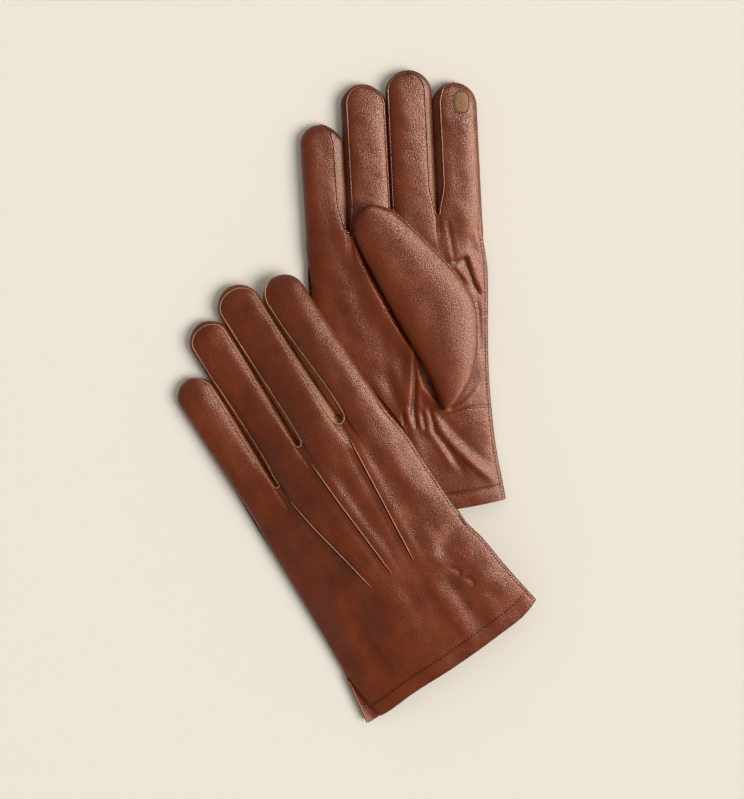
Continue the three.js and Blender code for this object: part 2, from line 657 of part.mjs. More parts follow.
for (const [side, glove] of Object.entries(GLOVES)) {
  const group = new THREE.Group();
  group.rotation.z = THREE.MathUtils.degToRad(glove.turn);
  group.position.set(glove.at[0], glove.at[1], 0);
  root.add(group);
  const name = (what) => side + "_" + what;
  const palmTop = glove.palmUp;
  const hole = thumbHole(glove, 0, palmTop ? HAND_T - 4.5 : -4, palmTop ? HAND_T + 4.5 : 4.5);

  let back = handPanel(glove, !palmTop);
  const palm = handPanel(glove, palmTop).subtract(hole);
  for (const line of POINT_LINES) {
    const zPair = palmTop
      ? (x, y) => [surface(glove, x, y, false) + 0.12, surface(glove, x, y, false) + 0.45]
      : (x, y) => [surface(glove, x, y, true) + 0.5, surface(glove, x, y, true) + 1.15];
    if (palmTop) {
      const cut = (x, y) => [surface(glove, x, y, false) - 1, surface(glove, x, y, false) + 0.78];
      back = back.subtract(ridge(glove, line.from, line.to, POINT_WIDTH / 2 + GAP, cut));
    }
    node(group, name(line.name), ridge(glove, line.from, line.to, POINT_WIDTH / 2, zPair), THREAD_LOOK);
  }
  node(group, name("hand_back"), back, LEATHER_LOOK);
  node(group, name("hand_palm"), palm, LEATHER_LOOK);
  const lining = tubeShell(glove, LEATHER + LINING_GAP, LINING, 0.09, 1, 6).subtract(hole);
  node(group, name("hand_lining"), lining, LINING_LOOK);
  const hem = tubeShell(glove, LEATHER + LINING_GAP, LINING, 0, HEM_DEPTH / TUBE_END, 1);
  node(group, name("hem_facing"), hem, SIDE_LOOK);

  const elasticGrid = (extra) =>
    [ELASTIC.y0, ELASTIC.y1].map((y) =>
      [0, 0.2, 0.4, 0.6, 0.8, 1].map((t) => {
        const x = mix(ELASTIC.from, ELASTIC.to, t);
        const inset = LEATHER + LINING_GAP + LINING + GAP + 0.1 + extra;
        const z = palmTop ? HAND_T - inset : inset;
        return [x, y, drape(glove, x, y) + z];
      }),
    );
  node(group, name("wrist_elastic"), plate(elasticGrid(0), elasticGrid(ELASTIC.thick)), ELASTIC_LOOK);

  for (const [k, pair] of [["little_ring"], ["ring_middle"], ["middle_index"]].entries()) {
    node(group, name("fork_" + pair[0]), crotch(glove, k), SIDE_LOOK);
  }

  for (const finger of FINGER_ORDER) {
    const f = glove.fingers[finger];
    const topSkin = fingerSkin(glove, f, true);
    const bottomSkin = fingerSkin(glove, f, false);
    if (f.outer === 0) {
      node(group, name(finger + "_back"), palmTop ? bottomSkin : topSkin, LEATHER_LOOK);
      node(group, name(finger + "_palm"), palmTop ? topSkin : bottomSkin, LEATHER_LOOK);
      node(group, name(finger + "_side_a"), fingerWall(glove, f, -1), SIDE_LOOK);
      node(group, name(finger + "_side_b"), fingerWall(glove, f, 1), SIDE_LOOK);
    } else {
      node(group, name(finger + "_wrap"), topSkin.add(bottomSkin), LEATHER_LOOK);
      node(group, name(finger + "_side"), fingerWall(glove, f, -f.outer), SIDE_LOOK);
    }
    node(group, name(finger + "_lining"), fingerLining(glove, f), LINING_LOOK);
  }
  node(group, name("touch_pad"), touchPad(glove, glove.fingers.index), PAD_LOOK);

  const cut = thumbHole(glove, 0, palmTop ? HAND_T - 4 : -6, palmTop ? HAND_T + 5.5 : 2);
  const podWall = thumbPod(glove, 0).subtract(thumbPod(glove, LEATHER)).subtract(cut);
  node(group, name("thumb_leather"), podWall, LEATHER_LOOK);
  const podIn = LEATHER + GAP;
  const podLining = thumbPod(glove, podIn).subtract(thumbPod(glove, podIn + LINING)).subtract(cut);
  node(group, name("thumb_lining"), podLining, LINING_LOOK);
}

// The origin goes to the middle of the footprint, on the table.
const footprint = new THREE.Box3().setFromObject(root, true).getCenter(new THREE.Vector3());
root.children.forEach((group) => group.position.sub(new THREE.Vector3(footprint.x, footprint.y, 0)));

export default root;
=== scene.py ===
"""A pair of lined leather dress gloves, the left one lying palm down across the right one, palm up."""

from __future__ import annotations

import json
import logging
import math
from dataclasses import dataclass, field
from enum import Enum

import bmesh
import bpy
import numpy as np
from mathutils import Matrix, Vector
from mathutils.bvhtree import BVHTree

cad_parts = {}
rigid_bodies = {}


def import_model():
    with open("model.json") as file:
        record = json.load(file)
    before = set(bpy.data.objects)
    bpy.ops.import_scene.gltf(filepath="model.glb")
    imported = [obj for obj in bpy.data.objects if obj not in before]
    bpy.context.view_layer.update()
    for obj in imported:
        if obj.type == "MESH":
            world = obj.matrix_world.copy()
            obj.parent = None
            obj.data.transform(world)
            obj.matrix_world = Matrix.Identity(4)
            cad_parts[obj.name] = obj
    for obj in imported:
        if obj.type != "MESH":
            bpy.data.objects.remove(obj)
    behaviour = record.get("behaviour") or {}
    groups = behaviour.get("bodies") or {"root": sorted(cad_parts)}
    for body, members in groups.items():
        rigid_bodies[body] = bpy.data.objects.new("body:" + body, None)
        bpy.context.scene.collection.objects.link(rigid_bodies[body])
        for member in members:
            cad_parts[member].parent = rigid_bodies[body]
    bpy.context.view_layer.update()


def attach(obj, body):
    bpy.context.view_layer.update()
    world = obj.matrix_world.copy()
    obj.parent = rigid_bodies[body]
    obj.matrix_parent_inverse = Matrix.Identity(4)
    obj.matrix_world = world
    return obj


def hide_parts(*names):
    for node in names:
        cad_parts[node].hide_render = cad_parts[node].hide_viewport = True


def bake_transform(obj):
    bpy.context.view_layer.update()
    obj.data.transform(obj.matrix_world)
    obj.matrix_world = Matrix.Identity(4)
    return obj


log = logging.getLogger("gloves")
MM = 0.001

HAND_T = 10.8
FINGER_T = 11.6
THUMB_T = 9.2
LIFT = 22.0
SKIN = 1.3
FOLD_SHARE = 0.42
TIP_LIFT = 1.2
HEM = 8.2
THUMB_GAP = 0.45
FORK_GAP = 0.12
BACK_LIFT = 0.95
FINGER_BASE = 155.0
TIP_THINNING = 0.3
# neutral level of the per-point painted shade and rubbing; lower values paint shade into hollows and along
# edges, higher ones lighten ridges for rubbing
LEVEL_SHADE_AND_RUBBING = 0.5
# how the upper glove climbs onto the lower one, along y and across x, and the share of it lost by the tips
CLIMB_Y = (-35, 72)
DESCENT_Y = (150, 262)
DESCENT_SHARE = 0.8
CUFF_RAISE = 3.5
CLIMB_X = (-60, -5)
CLIMB_LEAN = (0.3, 0.45)
LEAN_FROM = 111
# how far the cuff's edge is turned inside, in mm, and the root about which a thumb is turned and scaled
TURNED_HEM = (9.0, 6.0, 3.0)
THUMB_ROOT = (33.0, 75.0)
# rows and columns of the leather's grid that the vent, its tongue and the lining take up, and the row just
# above the vent from which the outer folds shade level
VENT_ROWS = 34
LEVEL_FROM_ROW = 46
TONGUE_COLUMNS = 16
LINING_ROWS = slice(8, 150, 3)
LINING_COLUMNS = slice(14, -4, 2)
# y of the wrist elastic, and where along y and how deep in mm the thumb's web is let into the leather
WRIST_Y = 62
GORE_Y = (67, 118)
GORE_DEPTH = 0.3
LIP = {"right": (0.46, 0.55), "left": (0.40, 0.6)}
CELLS_U = 41
CELLS_GAP = 7
ROW_STEP = 0.8


# ------------------------------------------------------------------ small maths
def step(a: float, b: float, x: np.ndarray) -> np.ndarray:
    """Smooth 0..1 ramp of x between a and b."""
    t = np.clip((x - a) / (b - a), 0.0, 1.0)
    return t * t * (3 - 2 * t)


def mix(a: float | np.ndarray, b: float | np.ndarray, t: float | np.ndarray) -> float | np.ndarray:
    """Linear blend of a and b by t."""
    return a + (b - a) * t


def smooth_table(table: list[tuple[float, float]], at: np.ndarray) -> np.ndarray:
    """Smooth curve through a short table.

    Args:
        table: Rising x values with their y values.
        at: Where to read the curve.

    Returns:
        Cubic Hermite values, held level past the ends.
    """
    xs = np.array([p[0] for p in table], float)
    ys = np.array([p[1] for p in table], float)
    slope = np.gradient(ys, xs)
    q = np.clip(np.asarray(at, float), xs[0], xs[-1])
    k = np.clip(np.searchsorted(xs, q) - 1, 0, len(xs) - 2)
    h = xs[k + 1] - xs[k]
    t = (q - xs[k]) / h
    return (
        (2 * t**3 - 3 * t**2 + 1) * ys[k]
        + (t**3 - 2 * t**2 + t) * h * slope[k]
        + (3 * t**2 - 2 * t**3) * ys[k + 1]
        + (t**3 - t**2) * h * slope[k + 1]
    )


def lumps(x: np.ndarray, y: np.ndarray, size: float, seed: int) -> np.ndarray:
    """Soft unevenness of about +-1 with features of the given size in mm.

    Args:
        x: Places across the glove in mm.
        y: Places along the glove in mm.
        size: Size of the features in mm.
        seed: Start of the random draws.

    Returns:
        One value for each place.
    """
    rng = np.random.default_rng(seed)
    total = np.zeros_like(x, float)
    for _ in range(7):
        angle = rng.uniform(0, math.pi)
        wave = 2 * math.pi / (size * rng.uniform(0.8, 1.7))
        phase = rng.uniform(0, 2 * math.pi)
        bend = rng.uniform(-0.6, 0.6)
        across = x * math.cos(angle) + y * math.sin(angle)
        total += np.sin(across * wave + phase + bend * np.sin(across * wave * 0.53 + y * wave * 0.31))
    return total / 4.0


@dataclass(frozen=True)
class Fold:
    """A soft ridge (height > 0) or crease (height < 0) along a short line on the leather, in glove mm."""

    start: tuple[float, float]
    end: tuple[float, float]
    width: float
    height: float
    skew: float = 0.0
    bow: float = 0.0

    def lift(self, x: np.ndarray, y: np.ndarray) -> np.ndarray:
        """Height that this fold adds at x, y.

        Args:
            x: Places across the glove in mm.
            y: Places along the glove in mm.

        Returns:
            Height in mm for each place.
        """
        ax, ay = self.start
        bx, by = self.end
        dx, dy = bx - ax, by - ay
        length = math.hypot(dx, dy)
        t = ((x - ax) * dx + (y - ay) * dy) / length**2
        d = ((x - ax) * dy - (y - ay) * dx) / length
        d = d - self.bow * 4 * t * (1 - t)
        side = np.where(d > 0, 1 + self.skew, 1 - self.skew)
        ends = step(-0.12, 0.18, t) * (1 - step(0.82, 1.12, t))
        return self.height * np.exp(-((d / (self.width * side)) ** 2)) * ends


# ------------------------------------------------------------------ the shape of a glove
class Side(Enum):
    """Upper or lower leather of a glove lying flat."""

    TOP = 1
    BOTTOM = -1


@dataclass(frozen=True)
class Finger:
    """One finger lying flat, in glove mm: + is the index side, y runs from the cuff to the tips.

    inset_left and inset_right say how far inside the outline the upper seams lie, and band how much
    side leather shows round the tip. pull_left and pull_right draw the seams in further, halfway along.
    fork_left and fork_right are the y of a fork towards which the inset closes, 0 for none.
    """

    name: str
    root: float
    tip: float
    end: float
    width: float
    hinge: float
    outer: int = 0
    inset_left: float = 0.8
    inset_right: float = 0.8
    band: float = 2.0
    pull_left: float = 0.0
    pull_right: float = 0.0
    fork_left: float = 0.0
    fork_right: float = 0.0

    def centre(self, y: np.ndarray) -> np.ndarray:
        """Middle of the finger across, at y."""
        return mix(self.root, self.tip, (y - FINGER_BASE) / (self.end - FINGER_BASE))

    def tip_share(self, y: np.ndarray) -> np.ndarray:
        """0 on the finger's body, rising to 1 at its very tip."""
        return step(self.end - self.width * 1.1, self.end + 2, y)

    def inset(self, face: Side, side: int, turn: np.ndarray) -> np.ndarray:
        """How far a seam lies inside the outline.

        Args:
            face: Upper or lower leather.
            side: -1 or +1 across.
            turn: 0 along the finger to pi / 2 at the middle of the tip.

        Returns:
            Inset in mm, 0 on a folded side.
        """
        turn = np.asarray(turn, float)
        if self.outer == side:
            return np.zeros_like(turn)
        start = 1.5
        if face is Side.TOP:
            start = self.inset_left if side < 0 else self.inset_right
        s = turn / (math.pi / 2)
        if self.outer:
            return mix(start, 0.0, step(0.2, 1, s))
        return mix(start, self.band, step(0, 1, s))

    def seam(self, face: Side, side: int, turn: np.ndarray) -> np.ndarray:
        """Height share at which the leather ends on a side.

        Args:
            face: Upper or lower leather.
            side: -1 or +1 across.
            turn: 0 along the finger to pi / 2 at the middle of the tip.

        Returns:
            Share of the finger's thickness.
        """
        turn = np.asarray(turn, float)
        if self.outer == side:
            return np.full_like(turn, FOLD_SHARE)
        start = 0.24
        if face is Side.TOP:
            start = 0.66 + 0.25 * min(1.0, (self.inset_left if side < 0 else self.inset_right) / 4.5)
        if self.outer:
            return mix(start, FOLD_SHARE, step(0.5, 1, turn / (math.pi / 2)))
        return np.full_like(turn, start)

    def bulge(self, side: int, turn: np.ndarray) -> np.ndarray:
        """How far the side leather stands out between its seams."""
        return mix(self.inset(Side.BOTTOM, side, turn), self.inset(Side.TOP, side, turn), 0.81)

    def pulled(self, side: int, y: np.ndarray) -> np.ndarray:
        """How far the upper seam is drawn in further at y, less where it closes towards a fork.

        Args:
            side: -1 or +1 across.
            y: Places along the glove in mm.

        Returns:
            Extra inset in mm, below 0 where it is drawn in less.
        """
        left = side < 0
        amount, fork, inset = (
            (self.pull_left, self.fork_left, self.inset_left)
            if left
            else (self.pull_right, self.fork_right, self.inset_right)
        )
        low = self.hinge - 32
        drawn = amount * np.sin(math.pi * np.clip((y - low) / 72, 0, 1) ** 0.55) ** 1.5
        if fork:
            drawn = drawn - max(0.0, inset - 0.9) * (1 - step(fork - 1, fork + 19, y))
        return drawn

    def edge(self, side: int, y: np.ndarray) -> np.ndarray:
        """Outline of the finger on a side, at y."""
        return self.centre(y) + side * self.width / 2


@dataclass(frozen=True)
class Glove:
    """The outline, heights and folds of one glove."""

    side: str
    palm_up: bool
    turn: float
    place: tuple[float, float]
    fingers: tuple[Finger, ...]
    web_top: tuple[float, float, float]
    web_bottom: tuple[float, float, float]
    folds: tuple[Fold, ...]
    cuff: tuple[tuple[float, float], ...]
    index_edge: tuple[tuple[float, float], ...]
    little_edge: tuple[tuple[float, float], ...]
    vent_top: tuple[tuple[float, float], ...]
    vent_bottom: tuple[tuple[float, float], ...]
    thumb: "ThumbShape"
    splits: dict = field(default_factory=dict)

    def name(self, what: str) -> str:
        """Name of a piece or body of this glove."""
        return f"{self.side}_{what}"

    def drape(self, x: np.ndarray, y: np.ndarray) -> np.ndarray:
        """How high the underside is held up by what lies beneath.

        Args:
            x: Places across the glove in mm.
            y: Places along the glove in mm.

        Returns:
            Height in mm above the table.
        """
        x, y = np.asarray(x, float), np.asarray(y, float)
        if self.palm_up:
            return np.zeros(np.broadcast(x, y).shape)
        past = np.maximum(0.0, y - LEAN_FROM)
        amount = LIFT * step(*CLIMB_Y, y) * (1 - DESCENT_SHARE * step(*DESCENT_Y, y))
        amount = amount + CUFF_RAISE * (1 - step(*CLIMB_Y, y))
        low, high = (edge + past * lean for edge, lean in zip(CLIMB_X, CLIMB_LEAN))
        t = np.clip((x - low) / (high - low), 0.0, 1.0)
        return amount * t * t * (3 - 2 * t)

    def world(self, points: np.ndarray) -> np.ndarray:
        """Glove mm to metres in the shared frame.

        Args:
            points: Points in glove mm.

        Returns:
            Points in metres.
        """
        a = math.radians(self.turn)
        p = np.asarray(points, float)
        x = self.place[0] + p[..., 0] * math.cos(a) - p[..., 1] * math.sin(a)
        y = self.place[1] + p[..., 0] * math.sin(a) + p[..., 1] * math.cos(a)
        return np.stack([x, y, p[..., 2]], -1) * MM

    def turned(self, vectors: np.ndarray) -> np.ndarray:
        """Directions of the glove turned into the shared frame.

        Args:
            vectors: Directions in the glove's own axes.

        Returns:
            Directions in the shared frame.
        """
        a = math.radians(self.turn)
        v = np.asarray(vectors, float)
        x = v[..., 0] * math.cos(a) - v[..., 1] * math.sin(a)
        y = v[..., 0] * math.sin(a) + v[..., 1] * math.cos(a)
        return np.stack([x, y, v[..., 2]], -1)


@dataclass
class Columns:
    """Lines that run along the glove: for each, its finger or gap and its place across."""

    finger: np.ndarray
    gap: np.ndarray
    u: np.ndarray

    @staticmethod
    def make() -> "Columns":
        """Columns of four fingers with a gap between each two.

        Returns:
            The columns, from the little finger's side to the index side.
        """
        t = np.linspace(-1, 1, CELLS_U)
        across = 0.6 * np.sin(math.pi * t / 2) + 0.4 * t
        finger, gap, u = [], [], []
        for k in range(4):
            finger += [k] * CELLS_U
            gap += [-1] * CELLS_U
            u += list(across)
            if k < 3:
                inner = np.linspace(-1, 1, CELLS_GAP + 2)[1:-1]
                finger += [-1] * CELLS_GAP
                gap += [k] * CELLS_GAP
                u += list(inner)
        return Columns(np.array(finger), np.array(gap), np.array(u))

    def of(self, k: int) -> np.ndarray:
        """Column numbers of finger k."""
        return np.nonzero(self.finger == k)[0]


@dataclass
class Skin:
    """The upper or lower leather of a glove as grids of points."""

    glove: Glove
    face: Side
    columns: Columns
    hand: np.ndarray | None = None
    stubs: list = field(default_factory=list)
    strips: list = field(default_factory=list)
    turns: dict = field(default_factory=dict)
    # per block: painted shade of hollows and edges, and lighter rubbing of ridges
    shade_and_rubbing: dict = field(default_factory=dict)

    def webs(self) -> tuple[float, float, float]:
        """Fork positions on this side."""
        return self.glove.web_top if self.face is Side.TOP else self.glove.web_bottom

    def spread(self, f: Finger, y: np.ndarray, u: np.ndarray, turn: np.ndarray) -> np.ndarray:
        """Place across of column u of a finger at y, where its outline has turned by turn.

        Args:
            f: The finger.
            y: Places along the glove in mm.
            u: Column places from -1 to 1.
            turn: How far the outline has turned.

        Returns:
            Places across in mm.
        """
        left = f.width / 2 - f.inset(self.face, -1, turn)
        right = f.width / 2 - f.inset(self.face, 1, turn)
        if self.face is Side.TOP:
            left, right = left - f.pulled(-1, y), right - f.pulled(1, y)
        left, right = left * np.cos(turn), right * np.cos(turn)
        return f.centre(y) + (right - left) / 2 + u * (right + left) / 2

    def finger_z(
        self, f: Finger, x: np.ndarray, y: np.ndarray, u: np.ndarray, turn: np.ndarray
    ) -> np.ndarray:
        """Height of a finger's leather above the table.

        Args:
            f: The finger.
            x: Places across the glove in mm.
            y: Places along the glove in mm.
            u: Column places from -1 to 1.
            turn: How far the outline has turned.

        Returns:
            Heights in mm.
        """
        tip = f.tip_share(y)
        thick = FINGER_T * (1 - TIP_THINNING * tip)
        t = np.clip(u * 0.8 + 0.5, 0, 1)
        h = mix(f.seam(self.face, -1, turn), f.seam(self.face, 1, turn), t * t * (3 - 2 * t))
        if self.face is Side.TOP:
            dome = np.sqrt(np.clip(1 - np.abs(u) ** 2.2, 0, 1)) * np.cos(turn)
            z = thick * (h + (1 - h) * dome)
        else:
            dome = np.sqrt(np.clip(1 - np.abs(u) ** 4.5, 0, 1)) * np.cos(turn)
            z = thick * h * (1 - dome)
        return z + tip * TIP_LIFT + self.glove.drape(x, y)

    def hand_z(self, x: np.ndarray, y: np.ndarray, across: np.ndarray) -> np.ndarray:
        """Height of the hand's leather, across from -1 to 1.

        Args:
            x: Places across the glove in mm.
            y: Places along the glove in mm.
            across: Places between the outer edges, -1 to 1.

        Returns:
            Heights in mm.
        """
        if self.face is Side.TOP:
            crown = np.clip(1 - np.abs(across) ** 3.2, 0, 1) ** 0.5
            flat = np.clip(1 - np.abs(across) ** 7, 0, 1) ** 0.46
            z = HAND_T * (FOLD_SHARE + (1 - FOLD_SHARE) * mix(flat, crown, 0.6))
        else:
            dome = np.clip(1 - np.abs(across) ** 7, 0, 1) ** 0.5
            z = HAND_T * FOLD_SHARE * (1 - dome) + (BACK_LIFT if self.glove.palm_up else 0.0) * dome
        return z + self.glove.drape(x, y)

    def web_row(self) -> tuple[np.ndarray, np.ndarray]:
        """x and y of the row of points that ends at the forks.

        Returns:
            x and y of each point, in glove mm.
        """
        g, c = self.glove, self.columns
        webs = self.webs()
        n = len(c.u)
        x, y = np.zeros(n), np.zeros(n)
        edge_x = []
        for k, f in enumerate(g.fingers):
            at = webs[min(k, 2)]
            cols = c.of(k)
            x[cols] = self.spread(f, np.full(len(cols), at), c.u[cols], np.zeros(len(cols)))
            edge_x.append((x[cols[0]], x[cols[-1]]))
        half = [(edge_x[k + 1][0] - edge_x[k][1]) / 2 for k in range(3)]
        for k, f in enumerate(g.fingers):
            cols = c.of(k)
            left = webs[k - 1] + half[k - 1] if k > 0 else webs[0] - 3
            right = webs[k] + half[k] if k < 3 else webs[2] - 2
            y[cols] = mix(left, right, (c.u[cols] + 1) / 2)
        for k in range(3):
            cols = np.nonzero(c.gap == k)[0]
            t = c.u[cols]
            x[cols] = mix(edge_x[k][1], edge_x[k + 1][0], (t + 1) / 2)
            y[cols] = webs[k] + half[k] * (1 - np.sqrt(1 - t**2))
        return x, y

    def build(self) -> "Skin":
        """Fill the grids of the hand, the finger stubs and the finger strips.

        Returns:
            The skin itself, filled.
        """
        g, c = self.glove, self.columns
        wx, wy = self.web_row()
        share = (wx - wx[0]) / (wx[-1] - wx[0])
        rows = int(150 / ROW_STEP)
        v = np.linspace(0, 1, rows)[:, None]
        little = g.little_edge + (g.vent_top if self.face is Side.TOP else g.vent_bottom)
        little = tuple(sorted(little))
        cuff_x = mix(smooth_table(little, -4), smooth_table(g.index_edge, 0), share)
        cuff_y = smooth_table(g.cuff, cuff_x)
        y = mix(cuff_y[None, :], wy[None, :], v)
        left = smooth_table(little, y)
        right = smooth_table(g.index_edge, y)
        straight = mix(left, right, share[None, :])
        x = mix(straight, wx[None, :] + 0 * y, step(0.8, 1, v))
        z = self.hand_z(x, y, 2 * share[None, :] - 1)
        near = step(-26, 0, y - wy[None, :]) ** 1.3
        for k, f in enumerate(g.fingers):
            cols = c.of(k)
            fz = self.finger_z(f, x[:, cols], y[:, cols], c.u[None, cols], np.zeros((1, 1)))
            z[:, cols] = mix(z[:, cols], fz, near[:, cols])
        for k in range(3):
            cols = np.nonzero(c.gap == k)[0]
            a, b = g.fingers[k], g.fingers[k + 1]
            seam = mix(a.seam(self.face, 1, 0.0), b.seam(self.face, -1, 0.0), (c.u[cols] + 1) / 2)
            low = FINGER_T * seam[None, :] + g.drape(x[:, cols], y[:, cols])
            z[:, cols] = mix(z[:, cols], low, near[:, cols])
        self.hand = np.stack([x, y, z], -1)
        self.stubs, self.strips = [], []
        for k, f in enumerate(g.fingers):
            cols = c.of(k)
            self.stubs.append(self.finger_block(f, c.u[cols], wy[cols], False))
            self.strips.append(self.finger_block(f, c.u[cols], wy[cols], True))
        self.crease()
        return self

    def finger_block(self, f: Finger, u: np.ndarray, start: np.ndarray, far: bool) -> np.ndarray:
        """Rows of a finger: from the forks to the split line, or from there to the tip.

        Args:
            f: The finger.
            u: Column places from -1 to 1.
            start: y of each column at the forks.
            far: True for the rows past the split line.

        Returns:
            Grid of points in glove mm.
        """
        split = self.glove.splits[f.name]
        radius = f.width / 2
        knee = f.end - radius
        if not far:
            n = max(3, int((split - start.min()) / ROW_STEP))
            y = mix(start[None, :], split, np.linspace(0, 1, n)[:, None])
            turn = np.zeros((n, 1))
        else:
            n = int((knee - split) / ROW_STEP)
            angle = np.radians(np.linspace(0, 88.6, 30))[1:]
            turn = np.concatenate([np.zeros(n), angle])[:, None]
            inset = mix(f.inset(self.face, -1, turn), f.inset(self.face, 1, turn), (u[None, :] + 1) / 2)
            round_ = knee + (radius - inset) * np.sin(turn)
            body = np.linspace(split, knee, n)[:, None] + 0 * u[None, :]
            y = np.concatenate([body, round_[n:]])
            self.turns[f.name] = turn[:, 0]
        x = self.spread(f, y, u[None, :], turn)
        z = self.finger_z(f, x, y, u[None, :] + 0 * y, turn)
        return np.stack([x, y, z], -1)

    def crease(self) -> None:
        """Add the folds, the sewn grooves and the soft unevenness of used leather, then note the painted
        shade and rubbing.
        """
        g = self.glove
        seed = 11 if g.palm_up else 23
        cuff = smooth_table(g.cuff, self.hand[..., 0])
        for block in [self.hand, *self.stubs, *self.strips]:
            x, y = block[..., 0], block[..., 1]
            if self.face is Side.TOP:
                lift = 0.42 * lumps(x, y, 27, seed) + 0.17 * lumps(x, y, 11, seed + 1)
                for fold in g.folds:
                    lift = lift + fold.lift(x, y)
            else:
                lift = 0.12 * np.maximum(0, lumps(x, y, 22, seed + 5))
            block[..., 2] += lift * self.calm(block)
        up = float(self.face.value)
        hem = self.hand[..., 1] - cuff - HEM
        roll, groove = 0.2 * np.exp(-(((hem + 4) / 2.6) ** 2)), 0.22 * np.exp(-((hem / 1.1) ** 2))
        self.hand[..., 2] += up * (roll - groove)
        for column, depth in ((-7, 0.3), (-6, 0.42), (-5, 0.2)):
            self.hand[:, column, 2] -= up * depth
        self.measure_shade_and_rubbing()

    def measure_shade_and_rubbing(self) -> None:
        """Note hollows and edges for painted shade, and ridges for the lighter tone of rubbing."""
        self.shade_and_rubbing["hand"] = worn(self.hand, self.face)
        for k in range(len(self.glove.fingers)):
            cols = self.columns.of(k)
            parts = [self.hand[-40:, cols], self.stubs[k][1:], self.strips[k][1:]]
            value = worn(np.concatenate(parts), self.face)
            n = len(self.stubs[k])
            self.shade_and_rubbing["hand"][-20:, cols] = value[20:40]
            self.shade_and_rubbing[f"stub{k}"] = value[39 : 39 + n]
            self.shade_and_rubbing[f"strip{k}"] = value[38 + n :]

    def calm(self, block: np.ndarray) -> np.ndarray:
        """1 on open leather, falling to 0 at the outer edges, where both leathers meet.

        Args:
            block: Grid of points in glove mm.

        Returns:
            One factor for each point.
        """
        n = block.shape[1]
        edge = np.ones(n)
        ramp = np.linspace(0, 1, 7)
        if n == len(self.columns.u):
            edge[:7] = ramp
            edge[-7:] = ramp[::-1]
        else:
            edge[:5] = np.linspace(0, 1, 5)
            edge[-5:] = np.linspace(1, 0, 5)
        return edge[None, :] * np.ones(block.shape[:2])


def worn(block: np.ndarray, face: Side) -> np.ndarray:
    """0 in hollows and along edges, which it paints in shade, 1 on ridges, which it lightens for rubbing,
    and 0.5 on level leather.

    Args:
        block: Grid of points in glove mm.
        face: Upper or lower leather.

    Returns:
        One value for each point.
    """
    z = block[..., 2] * face.value
    soft = z
    for _ in range(7):
        wide = np.pad(soft, 1, mode="edge")
        middle = wide[1:-1]
        soft = (wide[:-2, 1:-1] + wide[2:, 1:-1] + middle[:, :-2] + middle[:, 2:] + middle[:, 1:-1]) / 5
    return np.clip(0.5 + (z - soft) * 1.5, 0, 1)


# ------------------------------------------------------------------ mesh making
class Patchwork:
    """Collects grids of points and quads into one mesh."""

    def __init__(self, glove: Glove) -> None:
        """Start an empty mesh of this glove.

        Args:
            glove: The glove whose frame the points are in.
        """
        self.glove = glove
        self.points: list[np.ndarray] = []
        self.count = 0
        self.quads: list[np.ndarray] = []
        self.forced: dict[int, np.ndarray] = {}
        # painted shade and rubbing of each point
        self.shade_and_rubbing: list[np.ndarray] = []

    def add(self, block: np.ndarray, shade_and_rubbing: np.ndarray | None = None) -> np.ndarray:
        """Add a block of points and return their numbers.

        Args:
            block: Points in glove mm.
            shade_and_rubbing: Painted shade and rubbing of each point, level where left out.

        Returns:
            Their numbers, in the block's shape.
        """
        self.shade_and_rubbing.append(np.full(block.shape[:-1], LEVEL_SHADE_AND_RUBBING).ravel() if shade_and_rubbing is None else shade_and_rubbing.ravel())
        flat = block.reshape(-1, 3)
        index = np.arange(self.count, self.count + len(flat)).reshape(block.shape[:-1])
        self.points.append(flat)
        self.count += len(flat)
        return index

    def face(self, index: np.ndarray, flip: bool = False) -> None:
        """Quads over a grid of point numbers.

        Args:
            index: Grid of point numbers.
            flip: True to turn the faces round.
        """
        a, b = index[:-1, :-1], index[:-1, 1:]
        c, d = index[1:, 1:], index[1:, :-1]
        order = [a, d, c, b] if flip else [a, b, c, d]
        self.quads.append(np.stack(order, -1).reshape(-1, 4))

    def force(self, index: np.ndarray, normals: np.ndarray) -> None:
        """Give these points fixed normals, in glove directions."""
        for i, n in zip(index.ravel(), normals.reshape(-1, 3)):
            self.forced[int(i)] = n

    def make(self, name: str) -> bpy.types.Object:
        """The finished object in the shared frame.

        Args:
            name: Name of the object.

        Returns:
            The object with its painted shade and rubbing and its fixed normals.
        """
        points = self.glove.world(np.concatenate(self.points))
        quads = np.concatenate(self.quads)
        used = np.unique(quads)
        remap = np.full(len(points), -1)
        remap[used] = np.arange(len(used))
        mesh = bpy.data.meshes.new(name)
        mesh.vertices.add(len(used))
        mesh.vertices.foreach_set("co", points[used].ravel())
        faces = remap[quads]
        mesh.loops.add(faces.size)
        mesh.loops.foreach_set("vertex_index", faces.ravel())
        mesh.polygons.add(len(faces))
        mesh.polygons.foreach_set("loop_start", np.arange(len(faces)) * 4)
        mesh.polygons.foreach_set("loop_total", np.full(len(faces), 4))
        mesh.polygons.foreach_set("use_smooth", np.ones(len(faces), bool))
        mesh.update(calc_edges=True)
        mesh.validate()
        level = mesh.attributes.new("worn", "FLOAT", "POINT")
        level.data.foreach_set("value", np.concatenate(self.shade_and_rubbing)[used].astype(np.float32))
        if self.forced:
            normals = np.zeros(len(used) * 3)
            mesh.vertex_normals.foreach_get("vector", normals)
            normals = normals.reshape(-1, 3)
            keys = np.array([k for k in self.forced if remap[k] >= 0])
            values = self.glove.turned(np.array([self.forced[k] for k in keys]))
            normals[remap[keys]] = values
            mesh.normals_split_custom_set_from_vertices(normals)
        obj = bpy.data.objects.new(name, mesh)
        bpy.context.scene.collection.objects.link(obj)
        return obj


def grid_normals(block: np.ndarray, down: bool) -> np.ndarray:
    """Unit normals of a grid of points.

    Args:
        block: Grid of points in glove mm.
        down: True for the lower leather.

    Returns:
        One unit vector for each point.
    """
    du = np.gradient(block, axis=1)
    dv = np.gradient(block, axis=0)
    n = np.cross(du, dv)
    n /= np.linalg.norm(n, axis=-1, keepdims=True) + 1e-12
    return -n if down else n


